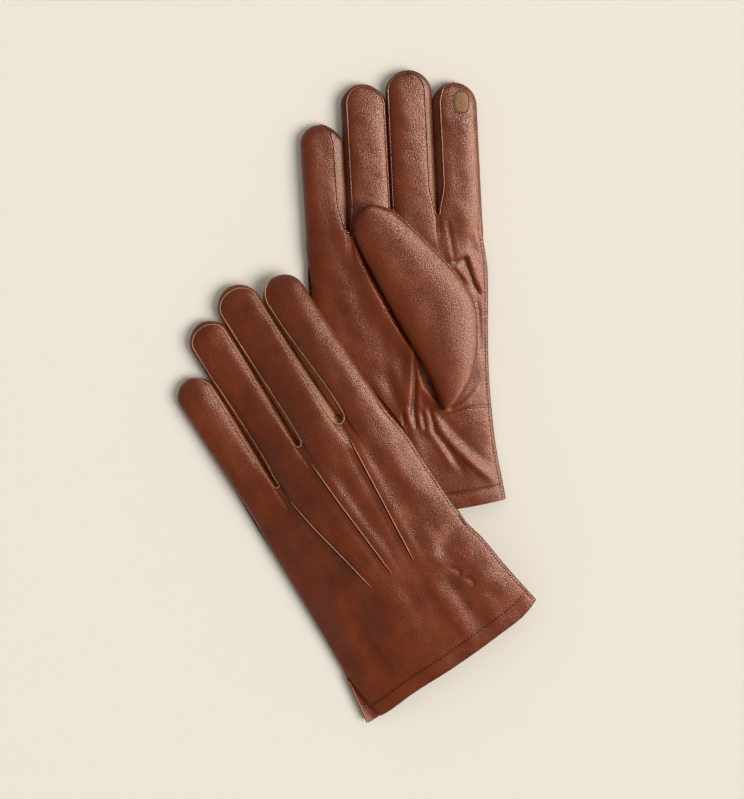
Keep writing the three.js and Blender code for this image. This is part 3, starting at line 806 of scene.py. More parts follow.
def sweep(glove: Glove, path: np.ndarray, size: tuple[float, float], name: str, sides: int = 8,
          taper: tuple[int, int] = (4, 4), closed: bool = False) -> bpy.types.Object:
    """A cord of oval section along a path.

    Args:
        glove: Whose frame the path is in.
        path: Points in glove mm.
        size: Half width and half height in mm.
        name: Name of the new object.
        sides: Number of faces round the section.
        taper: How many points thin out at the start and at the end.
        closed: True for a path that ends where it starts.

    Returns:
        The new object.
    """
    if closed:
        wide = np.concatenate([path[-1:], path, path[:1]])
        tangent = (wide[2:] - wide[:-2])
    else:
        tangent = np.gradient(path, axis=0)
    tangent = tangent / (np.linalg.norm(tangent, axis=-1, keepdims=True) + 1e-9)
    across = np.cross(tangent, np.array([0.0, 0.0, 1.0]))
    across /= np.linalg.norm(across, axis=-1, keepdims=True) + 1e-9
    up = np.cross(across, tangent)
    thin = np.ones(len(path))
    if not closed:
        for i in range(taper[0]):
            thin[i] *= 0.25 + 0.75 * i / taper[0]
        for i in range(taper[1]):
            thin[-1 - i] *= 0.25 + 0.75 * i / taper[1]
    angles = np.linspace(0, 2 * math.pi, sides, endpoint=False)
    ring = (
        path[:, None, :]
        + across[:, None, :] * (np.cos(angles) * size[0])[None, :, None] * thin[:, None, None]
        + up[:, None, :] * (np.sin(angles) * size[1])[None, :, None] * thin[:, None, None]
    )
    work = Patchwork(glove)
    index = work.add(ring)
    index = np.concatenate([index, index[:, :1]], 1)
    if closed:
        index = np.concatenate([index, index[:1]], 0)
    work.face(index, flip=True)
    return close_ends(work.make(name))


def close_ends(obj: bpy.types.Object) -> bpy.types.Object:
    """Close every open rim of a mesh and turn its faces outwards.

    Args:
        obj: Mesh with open rims.

    Returns:
        The same object, closed.
    """
    bm = bmesh.new()
    bm.from_mesh(obj.data)
    rims = [e for e in bm.edges if e.is_boundary]
    if rims:
        bmesh.ops.holes_fill(bm, edges=rims, sides=0)
    bmesh.ops.recalc_face_normals(bm, faces=bm.faces)
    for face in bm.faces:
        face.smooth = True
    bm.to_mesh(obj.data)
    bm.free()
    return obj


def merge(parts: list[bpy.types.Object], name: str) -> bpy.types.Object:
    """Put several objects' meshes into the first and drop the rest.

    Args:
        parts: Objects to join.
        name: Name of the result.

    Returns:
        The first object, holding every mesh.
    """
    bm = bmesh.new()
    for part in parts:
        bm.from_mesh(part.data)
    bm.to_mesh(parts[0].data)
    bm.free()
    for part in parts[1:]:
        bpy.data.objects.remove(part)
    parts[0].name = name
    parts[0].data.name = name
    return parts[0]


def settle(obj: bpy.types.Object) -> bpy.types.Object:
    """Make an object's modifiers part of its mesh.

    Args:
        obj: Object with modifiers.

    Returns:
        The same object with a plain mesh.
    """
    graph = bpy.context.evaluated_depsgraph_get()
    mesh = bpy.data.meshes.new_from_object(obj.evaluated_get(graph))
    obj.modifiers.clear()
    obj.data = mesh
    mesh.name = obj.name
    # pieces without their own get level painted shade and rubbing
    if "worn" not in mesh.attributes:
        level = mesh.attributes.new("worn", "FLOAT", "POINT")
        level.data.foreach_set("value", np.full(len(mesh.vertices), LEVEL_SHADE_AND_RUBBING, np.float32))
    for polygon in mesh.polygons:
        polygon.use_smooth = True
    return obj


def thicken(obj: bpy.types.Object, amount: float) -> bpy.types.Object:
    """Give a sheet a thickness in mm, inwards from its face.

    Args:
        obj: Sheet without thickness.
        amount: Thickness in mm.

    Returns:
        The same object as a closed shell.
    """
    made = obj.modifiers.new("thickness", "SOLIDIFY")
    made.thickness = amount * MM
    made.offset = -1
    made.use_rim = True
    return settle(obj)


class Surface:
    """Finds the height of finished leather."""

    def __init__(self, glove: Glove, obj: bpy.types.Object) -> None:
        """Read the leather's mesh.

        Args:
            glove: The glove it belongs to.
            obj: Finished leather.
        """
        mesh = obj.data
        self.glove = glove
        corners = [v.co[:] for v in mesh.vertices]
        self.tree = BVHTree.FromPolygons(corners, [p.vertices[:] for p in mesh.polygons])

    def follow(
        self, line: list[tuple[float, float]], count: int, proud: float, below: bool = False
    ) -> np.ndarray:
        """Lay a line on the leather.

        Args:
            line: Corners of the line in glove mm.
            count: Number of points to make.
            proud: How far above the leather they lie.
            below: True to lay it on the underside.

        Returns:
            Points in glove mm.
        """
        knots = np.array(line, float)
        t = np.linspace(0, len(knots) - 1, count)
        places = np.arange(len(knots))
        xy = np.stack([smooth_table(list(zip(places, knots[:, i])), t) for i in (0, 1)], -1)
        return self.land(xy, proud, below)

    def land(self, xy: np.ndarray, proud: float, below: bool = False) -> np.ndarray:
        """Give places x, y their height on the leather plus proud.

        Args:
            xy: Places in glove mm.
            proud: Distance out from the leather in mm.
            below: True to use the underside.

        Returns:
            Points in glove mm.
        """
        sign = -1.0 if below else 1.0
        flat = self.glove.world(np.concatenate([xy, np.zeros((len(xy), 1))], -1))
        out, last = [], 0.0
        for p, q in zip(xy, flat):
            hit = self.tree.ray_cast(Vector((q[0], q[1], 0.2 * sign)), Vector((0, 0, -sign)))
            last = hit[0].z / MM if hit[0] is not None else last
            out.append((p[0], p[1], last + proud * sign))
        return np.array(out)


def add_node(tree: bpy.types.NodeTree, kind: str, settings: dict[str, str] | None = None,
             **inputs: float | tuple) -> bpy.types.Node:
    """A new node in a tree.

    Args:
        tree: Where it goes.
        kind: Its type.
        settings: Its properties, set before its inputs.
        inputs: Values of its inputs, with _ for a space in a name.

    Returns:
        The node.
    """
    made = tree.nodes.new(kind)
    for key, value in (settings or {}).items():
        setattr(made, key, value)
    for key, value in inputs.items():
        made.inputs[key.replace("_", " ")].default_value = value
    return made


def join(tree: bpy.types.NodeTree, *links: tuple) -> None:
    """Link nodes, each link given as node, output, node, input."""
    for source, output, target, socket in links:
        tree.links.new(source.outputs[output], target.inputs[socket])


class Stitching:
    """Runs of stitches along lines, made by one node tree."""

    def __init__(self) -> None:
        """Build the node tree with its named inputs."""
        tree = bpy.data.node_groups.new("stitch_run", "GeometryNodeTree")
        self.tree = tree
        face = tree.interface
        face.new_socket("Geometry", in_out="INPUT", socket_type="NodeSocketGeometry")
        kinds = {"Pitch": "Float", "Length": "Float", "Thickness": "Float", "Thread": "Material"}
        self.ids = {
            name: face.new_socket(name, in_out="INPUT", socket_type=f"NodeSocket{kind}").identifier
            for name, kind in kinds.items()
        }
        face.new_socket("Geometry", in_out="OUTPUT", socket_type="NodeSocketGeometry")
        start, end = add_node(tree, "NodeGroupInput"), add_node(tree, "NodeGroupOutput")
        curve = add_node(tree, "GeometryNodeMeshToCurve")
        spaced = add_node(tree, "GeometryNodeResampleCurve", {"mode": "LENGTH"})
        ball = add_node(tree, "GeometryNodeMeshUVSphere", Segments=8, Rings=5, Radius=0.5)
        smooth = add_node(tree, "GeometryNodeSetShadeSmooth")
        tangent = add_node(tree, "GeometryNodeInputTangent")
        align = add_node(tree, "FunctionNodeAlignRotationToVector", {"axis": "X"})
        size = add_node(tree, "ShaderNodeCombineXYZ")
        copies = add_node(tree, "GeometryNodeInstanceOnPoints")
        real = add_node(tree, "GeometryNodeRealizeInstances")
        paint = add_node(tree, "GeometryNodeSetMaterial")
        join(
            tree,
            (start, "Geometry", curve, "Mesh"),
            (curve, "Curve", spaced, "Curve"),
            (start, "Pitch", spaced, "Length"),
            (spaced, "Curve", copies, "Points"),
            (ball, "Mesh", smooth, "Geometry"),
            (smooth, "Geometry", copies, "Instance"),
            (tangent, "Tangent", align, "Vector"),
            (align, "Rotation", copies, "Rotation"),
            (start, "Length", size, "X"),
            (start, "Thickness", size, "Y"),
            (start, "Thickness", size, "Z"),
            (size, "Vector", copies, "Scale"),
            (copies, "Instances", real, "Geometry"),
            (real, "Geometry", paint, "Geometry"),
            (start, "Thread", paint, "Material"),
            (paint, "Geometry", end, "Geometry"),
        )

    def run(self, glove: Glove, path: np.ndarray, name: str, finish: "Finish", pitch: float = 1.9,
            length: float = 1.25, thick: float = 0.42) -> bpy.types.Object:
        """Sew along a path.

        Args:
            glove: Whose frame the path is in.
            path: Points in glove mm.
            name: Name of the new piece.
            finish: The thread.
            pitch: Distance from stitch to stitch in mm.
            length: Length of a stitch in mm.
            thick: Thickness of the thread in mm.

        Returns:
            The stitches as one mesh.
        """
        mesh = bpy.data.meshes.new(name)
        points = glove.world(path)
        mesh.from_pydata([tuple(p) for p in points], [(i, i + 1) for i in range(len(points) - 1)], [])
        obj = bpy.data.objects.new(name, mesh)
        bpy.context.scene.collection.objects.link(obj)
        sewing = obj.modifiers.new("stitches", "NODES")
        sewing.node_group = self.tree
        sewing[self.ids["Pitch"]] = pitch * MM
        sewing[self.ids["Length"]] = length * MM
        sewing[self.ids["Thickness"]] = thick * MM
        sewing[self.ids["Thread"]] = finish.material()
        return dress(settle(obj), finish)


# ------------------------------------------------------------------ finishes
@dataclass(frozen=True)
class Finish:
    """A leather, knit or thread finish, made from noise on Object coordinates."""

    name: str
    slot: str
    dark: tuple[float, float, float]
    light: tuple[float, float, float]
    roughness: float
    grain: float = 1300.0
    bump: float = 0.35
    depth: float = 0.00012
    sheen: float = 0.0
    gloss: float = 0.5

    def material(self) -> bpy.types.Material:
        """The node material of this finish.

        Returns:
            The material, made once and then found again.
        """
        found = bpy.data.materials.get(self.name)
        if found:
            return found
        mat = bpy.data.materials.new(self.name)
        mat.use_nodes = True
        tree = mat.node_tree
        tree.nodes.clear()
        colours = {"data_type": "RGBA"}
        product = {"data_type": "RGBA", "blend_type": "MULTIPLY"}
        out = add_node(tree, "ShaderNodeOutputMaterial")
        shader = add_node(tree, "ShaderNodeBsdfPrincipled", Specular_IOR_Level=self.gloss,
                          Sheen_Weight=self.sheen)
        where = add_node(tree, "ShaderNodeTexCoord")
        cloud = add_node(tree, "ShaderNodeTexNoise", Scale=55.0, Detail=5.0, Roughness=0.62)
        cells = add_node(tree, "ShaderNodeTexVoronoi", {"feature": "F1"}, Scale=self.grain)
        fine = add_node(tree, "ShaderNodeTexNoise", Scale=self.grain * 0.85, Detail=3.0)
        # painted shade and rubbing: the per-point value scales the colour from 0.6 to 1.4, darker as painted
        # shade in hollows and along edges, lighter on ridges for rubbing
        shade_and_rubbing = add_node(tree, "ShaderNodeAttribute", {"attribute_name": "worn"})
        level = add_node(tree, "ShaderNodeMapRange", To_Min=0.6, To_Max=1.4)
        tone = add_node(tree, "ShaderNodeMapRange", From_Min=0.3, From_Max=0.72)
        pits = add_node(tree, "ShaderNodeMapRange", From_Min=0.0, From_Max=0.75, To_Min=1.08, To_Max=0.78)
        rough = add_node(tree, "ShaderNodeMapRange", From_Min=0.25, From_Max=0.75,
                         To_Min=self.roughness - 0.06, To_Max=self.roughness + 0.08)
        colour = add_node(tree, "ShaderNodeMix", colours, A=(*self.dark, 1), B=(*self.light, 1))
        shade = add_node(tree, "ShaderNodeMix", product, Factor=0.8)
        shaded_rubbing_colour = add_node(tree, "ShaderNodeMix", product, Factor=1.0)
        height = add_node(tree, "ShaderNodeMath", {"operation": "MULTIPLY_ADD"})
        height.inputs[1].default_value = -1.0
        soft = add_node(tree, "ShaderNodeMath", {"operation": "MULTIPLY"})
        soft.inputs[1].default_value = 0.45
        bump = add_node(tree, "ShaderNodeBump", Strength=self.bump, Distance=self.depth)
        join(
            tree,
            (shader, "BSDF", out, "Surface"),
            (where, "Object", cloud, "Vector"),
            (where, "Object", cells, "Vector"),
            (where, "Object", fine, "Vector"),
            (shade_and_rubbing, "Fac", level, "Value"),
            (cloud, "Fac", tone, "Value"),
            (tone, "Result", colour, "Factor"),
            (cells, "Distance", pits, "Value"),
            (colour, "Result", shade, "A"),
            (pits, "Result", shade, "B"),
            (shade, "Result", shaded_rubbing_colour, "A"),
            (level, "Result", shaded_rubbing_colour, "B"),
            (shaded_rubbing_colour, "Result", shader, "Base Color"),
            (fine, "Fac", soft, 0),
            (cells, "Distance", height, 0),
            (soft, "Value", height, 2),
            (height, "Value", bump, "Height"),
            (bump, "Normal", shader, "Normal"),
            (cloud, "Fac", rough, "Value"),
            (rough, "Result", shader, "Roughness"),
        )
        return mat


LEATHER = Finish("nappa_chestnut", "leather_brown", (0.120, 0.0182, 0.0025), (0.198, 0.0330, 0.0050), 0.37,
                 grain=1550.0, bump=1.0, depth=0.00017, gloss=0.34)
SIDE_LEATHER = Finish("nappa_side", "leather_side", (0.085, 0.014, 0.003), (0.150, 0.032, 0.008), 0.42,
                      grain=1500.0, bump=0.8, depth=0.00018, gloss=0.35)
INNER_LEATHER = Finish("nappa_inner", "leather_side", (0.135, 0.027, 0.004), (0.225, 0.054, 0.010), 0.42,
                       grain=1500.0, bump=0.8, depth=0.00018, gloss=0.35)
# light colour of cut leather edges, also painting the highlight along the seam lips and the points
CUT_EDGE_AND_HIGHLIGHT = Finish("raw_edge", "seam_edge", (0.33, 0.120, 0.064), (0.50, 0.235, 0.150), 0.5, bump=0.4)
PIPED = Finish("turned_edge", "seam_edge", (0.15, 0.028, 0.007), (0.22, 0.048, 0.014), 0.32, bump=0.3)
KNIT = Finish("knit_lining", "knit_lining", (0.05, 0.025, 0.016), (0.09, 0.045, 0.028), 0.95,
              grain=900, bump=0.8,
              sheen=0.3)
THREAD = Finish("seam_thread", "seam_edge", (0.020, 0.005, 0.002), (0.034, 0.009, 0.003), 0.75, gloss=0.1)
PAD = Finish("bronze_pad", "touch_pad", (0.165, 0.066, 0.018), (0.38, 0.180, 0.052), 0.55,
             grain=1500, bump=1.0,
             depth=0.00025, gloss=0.3)
# near-black finish of the ring round the touch pad, painting the shade of its recessed border
PAINTED_RECESS_SHADE = Finish("pad_groove", "touch_pad", (0.03, 0.010, 0.005), (0.05, 0.016, 0.008), 0.7)
BAND = Finish("woven_elastic", "elastic", (0.10, 0.05, 0.03), (0.16, 0.085, 0.05), 0.9, grain=1800, bump=0.9)


def dress(obj: bpy.types.Object, finish: Finish) -> bpy.types.Object:
    """Give a piece its finish.

    Args:
        obj: Finished mesh.
        finish: Its leather, knit or thread.

    Returns:
        The same object.
    """
    obj.data.materials.clear()
    obj.data.materials.append(finish.material())
    log.info("%s: %d points, finish %s", obj.name, len(obj.data.vertices), finish.name)
    return obj


# ------------------------------------------------------------------ one glove
@dataclass
class GloveMaker:
    """Builds every piece of one glove."""

    glove: Glove
    top: Skin | None = None
    bottom: Skin | None = None
    sewing: Stitching | None = None
    surfaces: dict = field(default_factory=dict)

    def hinge_blend(self, obj: bpy.types.Object, f: Finger) -> None:
        """Bake a piece's placement into its mesh; where it would bend from the hand into the finger is
        worked out but not used.

        Args:
            obj: Finished piece.
            f: Its finger.
        """
        g = self.glove
        split = g.splits[f.name]
        z = float(FINGER_T + g.drape(f.root, f.hinge))
        start = g.world(np.array([f.root, split + 0.5, z]))
        end = g.world(np.array([f.root, 2 * f.hinge - split - 0.5, z]))
        g.name("hand")
        g.name(f"{f.name}_finger")
        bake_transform(obj)

    def build(self, sewing: Stitching) -> None:
        """Make the glove with its stitches.

        Args:
            sewing: Maker of the stitches.
        """
        g = self.glove
        self.sewing = sewing
        columns = Columns.make()
        self.top = Skin(g, Side.TOP, columns).build()
        self.bottom = Skin(g, Side.BOTTOM, columns).build()
        self.hand_leather()
        for k, f in enumerate(g.fingers):
            self.finger_leather(k, f)
        for k in range(3):
            self.gusset(k)
        self.lining()
        self.points()
        self.hem_stitches()
        self.vent()
        self.touch_pad()
        ThumbMaker(self).build()

    def hand_leather(self) -> None:
        """Upper and lower leather of the hand with the roll of the cuff."""
        g = self.glove
        for skin in (self.top, self.bottom):
            up = skin.face is Side.TOP
            work = Patchwork(g)
            other = self.bottom.hand if up else self.top.hand
            rolled = np.concatenate([self.cuff_roll(skin.hand, other, up), skin.hand], 0)
            shade_and_rubbing = skin.shade_and_rubbing["hand"]
            level = np.full((len(rolled) - len(shade_and_rubbing), shade_and_rubbing.shape[1]), LEVEL_SHADE_AND_RUBBING)
            index = work.add(rolled, np.concatenate([level, shade_and_rubbing]))
            work.face(index, flip=not up)
            web = index[-1]
            for k in range(len(g.fingers)):
                cols = skin.columns.of(k)
                stub = work.add(skin.stubs[k][1:], skin.shade_and_rubbing[f"stub{k}"][1:])
                whole = np.concatenate([web[cols][None, :], stub], 0)
                work.face(whole, flip=not up)
                joined = np.concatenate([skin.stubs[k][:-1], skin.strips[k][:6]], 0)
                normals = grid_normals(joined, not up)[len(skin.stubs[k]) - 1]
                work.force(whole[-1], normals)
            self.outer_normals(work, index, rolled)
            palm = up == g.palm_up
            obj = dress(work.make(g.name("palm_leather" if palm else "back_leather")), LEATHER)
            nodes = [g.name("hand_palm" if palm else "hand_back")]
            if up:
                nodes.append(g.name("hem_facing"))
            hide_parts(*nodes)
            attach(obj, g.name("hand"))
            self.surfaces[skin.face] = Surface(g, obj)

    def outer_normals(self, work: Patchwork, index: np.ndarray, grid: np.ndarray) -> None:
        """Level normals along the outer folds, so that both leathers shade as one.

        Args:
            work: Mesh in the making.
            index: Point numbers of the hand's grid.
            grid: Its points.
        """
        for column, sign in ((0, -1.0), (-1, 1.0)):
            line = grid[:, column]
            d = np.gradient(line, axis=0)
            n = np.stack([sign * d[:, 1], -sign * d[:, 0], 0 * d[:, 0]], -1)
            n /= np.linalg.norm(n, axis=-1, keepdims=True) + 1e-9
            n[n[:, 0] * sign < 0] *= -1
            work.force(index[LEVEL_FROM_ROW:, column], n[LEVEL_FROM_ROW:])

    def cuff_roll(self, grid: np.ndarray, other: np.ndarray, up: bool) -> np.ndarray:
        """Rows that turn the leather's edge round and inside the cuff.

        Args:
            grid: Points of this leather.
            other: Points of the leather on the other side.
            up: True for the upper leather.

        Returns:
            Rows that go before the grid.
        """
        first = grid[0]
        sign = 1.0 if up else -1.0
        middle = (grid[0, :, 2] + other[0, :, 2]) / 2
        room = np.maximum(0.12, np.minimum(SKIN, (grid[0, :, 2] - middle) * sign - 0.15))
        radius = room / 2
        rows = []
        for inside in TURNED_HEM:
            near = grid[int(inside / ROW_STEP)]
            p = near.copy()
            p[:, 2] = near[:, 2] - sign * room
            rows.append(p)
        for a in np.linspace(-0.5, -1.5, 9) * math.pi:
            p = first.copy()
            p[:, 1] += radius * (1 + math.cos(a)) - radius
            p[:, 2] += sign * (radius * math.sin(a) - radius)
            rows.append(p)
        return np.stack(rows[:-1])

    def finger_leather(self, k: int, f: Finger) -> None:
        """Top and bottom strips of a finger past the split line.

        Args:
            k: Number of the finger, 0 for the little one.
            f: The finger.
        """
        g = self.glove
        made = []
        for skin in (self.top, self.bottom):
            up = skin.face is Side.TOP
            work = Patchwork(g)
            index = work.add(skin.strips[k], skin.shade_and_rubbing[f"strip{k}"])
            work.face(index, flip=not up)
            joined = np.concatenate([skin.stubs[k][:-1], skin.strips[k][:6]], 0)
            work.force(index[0], grid_normals(joined, not up)[len(skin.stubs[k]) - 1])
            if f.outer:
                column = 0 if f.outer < 0 else -1
                line = skin.strips[k][:, column]
                d = np.gradient(line, axis=0)
                n = np.stack([f.outer * d[:, 1], -f.outer * d[:, 0], 0 * d[:, 0]], -1)
                n /= np.linalg.norm(n, axis=-1, keepdims=True) + 1e-9
                work.force(index[1:, column], n[1:])
            palm = up == g.palm_up
            obj = dress(work.make(g.name(f"{f.name}_{'palm' if palm else 'back'}_leather")), LEATHER)
            if f.name == "index" and palm:
                self.surfaces["pad"] = Surface(g, obj)
            made.append((obj, palm))
        for obj, palm in made:
            if f.outer:
                if palm:
                    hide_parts(g.name(f"{f.name}_wrap"), g.name(f"{f.name}_lining"))
            else:
                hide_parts(g.name(f"{f.name}_{'palm' if palm else 'back'}"))
                if palm:
                    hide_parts(g.name(f"{f.name}_lining"))
            self.hinge_blend(obj, f)

    def edge_path(self, skin: Skin, k: int, side: int) -> np.ndarray:
        """Edge of finger k's far strip from the split line to the middle of the tip.

        Args:
            skin: Upper or lower leather.
            k: Number of the finger, 0 for the little one.
            side: -1 or +1 across.

        Returns:
            Points in glove mm.
        """
        strip = skin.strips[k]
        column = 0 if side < 0 else -1
        half = CELLS_U // 2
        last = strip[-1]
        tip = last[1 : half + 1] if side < 0 else last[half:-1][::-1]
        return np.concatenate([strip[:, column], tip], 0)

    def web_path(self, skin: Skin, k: int) -> np.ndarray:
        """Edge of the leather from finger k's split line round the fork to finger k + 1's.

        Args:
            skin: Upper or lower leather.
            k: Number of the finger, 0 for the little one.

        Returns:
            Points in glove mm.
        """
        c = skin.columns
        down = skin.stubs[k][:, -1][::-1]
        up = skin.stubs[k + 1][:, 0]
        gap = skin.hand[-1, np.nonzero(c.gap == k)[0]]
        return np.concatenate([down, gap, up], 0)

    def wall(self, high: np.ndarray, low: np.ndarray, bulge: np.ndarray, name: str, flip: bool,
             taper: tuple[int, int]) -> tuple[bpy.types.Object, bpy.types.Object]:
        """A strip of side leather between an upper and a lower edge, and the lips of its two seams.

        Args:
            high: Upper edge.
            low: Lower edge.
            bulge: How far it stands out at each point, in mm.
            name: Name of the leather.
            flip: True where it faces the other way.
            taper: Points over which the lips thin out at each end.

        Returns:
            The leather and its lips.
        """
        g = self.glove
        n = len(high)
        low = resample(low, n)
        d = np.gradient(high[:, :2], axis=0)
        normal = np.stack([-d[:, 1], d[:, 0]], -1)
        normal /= np.linalg.norm(normal, axis=-1, keepdims=True) + 1e-9
        if flip:
            normal = -normal
        t = np.linspace(0, 1, 13)
        grid = mix(high[:, None, :], low[:, None, :], t[None, :, None])
        grid[..., :2] = mix(high[:, None, :2], low[:, None, :2], (t**2.4)[None, :, None])
        out = (bulge[:, None] + 0.15) * (np.sin(math.pi * t) ** 0.7)[None, :]
        grid[..., :2] += normal[:, None, :] * out[..., None]
        work = Patchwork(g)
        work.face(work.add(grid), flip=not flip)
        lips = []
        for edge, rise in ((high, 0.3), (low, -0.1)):
            path = edge.copy()
            path[:, :2] += normal * 0.12
            path[:, 2] += rise
            lips.append(sweep(g, path, LIP[g.side], f"{name}_lip", sides=8, taper=taper))
        # on the back of the left glove the seam lips take the light cut-edge colour, which also paints their
        # highlight
        side, lip = (SIDE_LEATHER, PIPED) if g.palm_up else (INNER_LEATHER, CUT_EDGE_AND_HIGHLIGHT)
        return dress(work.make(name), side), dress(merge(lips, f"{name}_lips"), lip)

    def gusset(self, k: int) -> None:
        """The side leather of a fork and of the two fingers that it parts.

        Args:
            k: Number of the finger on the fork's little side.
        """
        g = self.glove
        a, b = g.fingers[k], g.fingers[k + 1]
        high = self.web_path(self.top, k)
        down = len(self.top.stubs[k])
        up = len(self.top.stubs[k + 1])
        bulge = np.interp(np.arange(len(high)), [down, len(high) - up],
                          [float(a.bulge(1, 0.0)), float(b.bulge(-1, 0.0))])
        room = np.maximum(0, b.edge(-1, high[:, 1]) - a.edge(1, high[:, 1])) / 2 - FORK_GAP
        fade = np.ones(len(high))
        fade[down:-up] = 0.3
        pulls = a.pulled(1, high[:down, 1]), 0 * high[down:-up, 1], b.pulled(-1, high[-up:, 1])
        pull = np.concatenate(pulls)
        bulge = bulge + np.maximum(0, room) * fade + pull * 0.8
        name = g.name(f"fork_{a.name}_{b.name}")
        lower_web = self.web_path(self.bottom, k)
        leather, lips = self.wall(high, lower_web, bulge, f"{name}_leather", False, (0, 0))
        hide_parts(name)
        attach(leather, g.name("hand"))
        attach(lips, g.name("hand"))
        for f, j, side in ((a, k, 1), (b, k + 1, -1)):
            tag = "side" if f.outer else ("side_b" if side > 0 else "side_a")
            high = self.edge_path(self.top, j, side)
            turn = self.top.turns[f.name]
            y = high[: len(turn), 1]
            room = np.maximum(0, b.edge(-1, y) - a.edge(1, y)) / 2 - FORK_GAP
            bulge = f.bulge(side, turn) + np.maximum(0, room) * (1 - step(0, 0.9, turn))
            bulge = bulge + f.pulled(side, y) * 0.8
            bulge = np.concatenate([bulge, np.full(len(high) - len(bulge), bulge[-1])])
            pieces = self.wall(high, self.edge_path(self.bottom, j, side), bulge,
                               g.name(f"{f.name}_{tag}_leather"), side > 0, (0, 8 if f.outer else 0))
            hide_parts(g.name(f"{f.name}_{tag}"))
            for piece in pieces:
                self.hinge_blend(piece, f)
            if not g.palm_up:
                first = int(len(high) * 0.62)
                line = high[first:].copy()
                line[:, 2] += 0.55
                line[:, :2] += (line[:, :2] - np.array([f.centre(line[:, 1]), line[:, 1] - 6]).T) * 0.035
                done = self.sewing.run(g, line[: len(turn) - first], g.name(f"{f.name}_{tag}_stitches"),
                                       CUT_EDGE_AND_HIGHLIGHT, 1.5, 0.9, 0.42)
                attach(done, g.name(f"{f.name}_finger"))

    def lining(self) -> None:
        """Knitted tube inside the hand."""
        g = self.glove
        high = self.top.hand[LINING_ROWS, LINING_COLUMNS].copy()
        base = self.bottom.hand[LINING_ROWS, LINING_COLUMNS].copy()
        mid = (high[..., 2] + base[..., 2]) / 2
        high[..., 2] = np.maximum(high[..., 2] - 2.0, mid + 0.3)
        base[..., 2] = np.minimum(base[..., 2] + 1.6, mid - 0.3)
        loop = np.concatenate([high, base[:, ::-1]], 1)
        work = Patchwork(g)
        index = work.add(loop)
        work.face(np.concatenate([index, index[:, :1]], 1), flip=True)
        obj = dress(thicken(work.make(g.name("knit_lining")), 0.6), KNIT)
        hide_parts(g.name("hand_lining"))
        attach(obj, g.name("hand"))
        palm = self.top if g.palm_up else self.bottom
        sign = palm.face.value
        line = palm.hand[int(WRIST_Y / ROW_STEP), 34:-34:2].copy()
        line[:, 2] -= 1.1 * sign
        band = dress(sweep(g, line, (3.2, 0.28), g.name("wrist_band")), BAND)
        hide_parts(g.name("wrist_elastic"))
        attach(band, g.name("hand"))

    def points(self) -> None:
        """The three pinched and sewn ridges on the back of the hand, in the light cut-edge colour that also
        paints their highlight, each with a dark strip beside it that paints its shadow.
        """
        g = self.glove
        back = Side.BOTTOM if g.palm_up else Side.TOP
        for name, line in POINTS.items():
            path = self.surfaces[back].follow(line, 90, 0.2 if g.palm_up else 0.42, below=g.palm_up)
            ridge = dress(sweep(g, path, (0.34, 0.62), g.name(f"{name}_ridge"), taper=(8, 10)), CUT_EDGE_AND_HIGHLIGHT)
            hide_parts(g.name(name))
            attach(ridge, g.name("hand"))
            # a dark thread-coloured strip just beside each ridge, on its little-finger side, paints the
            # ridge's shadow
            beside = [(x - 0.62, y) for x, y in line]
            path = self.surfaces[back].follow(beside, 90, 0.02, below=g.palm_up)
            shade = dress(sweep(g, path, (0.42, 0.14), g.name(f"{name}_groove"), taper=(10, 14)), THREAD)
            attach(shade, g.name("hand"))

    def hem_stitches(self) -> None:
        """Stitches round the cuff and along the seam of the index side."""
        g = self.glove
        row = int(HEM / ROW_STEP)
        for skin, tag in ((self.top, "upper"), (self.bottom, "lower")):
            line = skin.hand[row, 5:-4].copy()
            line[:, 2] += 0.14 * skin.face.value
            done = self.sewing.run(g, line, g.name(f"hem_stitches_{tag}"), THREAD, 2.15, 1.35, 0.62)
            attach(done, g.name("hand"))
        line = self.top.hand[3:-14, -6].copy()
        line[:, 2] += 0.2
        done = self.sewing.run(g, line, g.name("side_seam_stitches"), THREAD, 1.9, 1.2, 0.45)
        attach(done, g.name("hand"))
        if g.palm_up:
            path = self.surfaces[Side.TOP].follow([(19, 54.5), (24, 59), (37, 62.3), (49, 63.2)], 40, 0.1)
            done = self.sewing.run(g, path, g.name("wrist_stitches"), THREAD, 2.0, 1.3, 0.45)
            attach(done, g.name("hand"))

    def vent(self) -> None:
        """The slit at the cuff, its free edge and the tongue beneath."""
        g = self.glove
        edge = self.top.hand[:VENT_ROWS, 0].copy()
        rim = dress(sweep(g, edge, (0.62, 0.62), g.name("vent_rim"), taper=(0, 12)), LEATHER)
        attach(rim, g.name("hand"))
        tongue = self.bottom.hand[:VENT_ROWS, :TONGUE_COLUMNS].copy()
        tongue[..., 2] += 0.9
        work = Patchwork(g)
        work.face(work.add(tongue))
        piece = dress(thicken(work.make(g.name("vent_tongue")), 0.8), LEATHER)
        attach(piece, g.name("hand"))
        low = self.bottom.hand[:VENT_ROWS, 0].copy()
        low[:, 2] += 0.5
        rim = dress(sweep(g, low, (0.42, 0.62), g.name("tongue_rim"), taper=(0, 12)), CUT_EDGE_AND_HIGHLIGHT)
        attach(rim, g.name("hand"))
        seam = self.bottom.hand[:VENT_ROWS, 6].copy()
        seam[:, 2] += 1.05
        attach(self.sewing.run(g, seam, g.name("tongue_stitches"), THREAD), g.name("hand"))

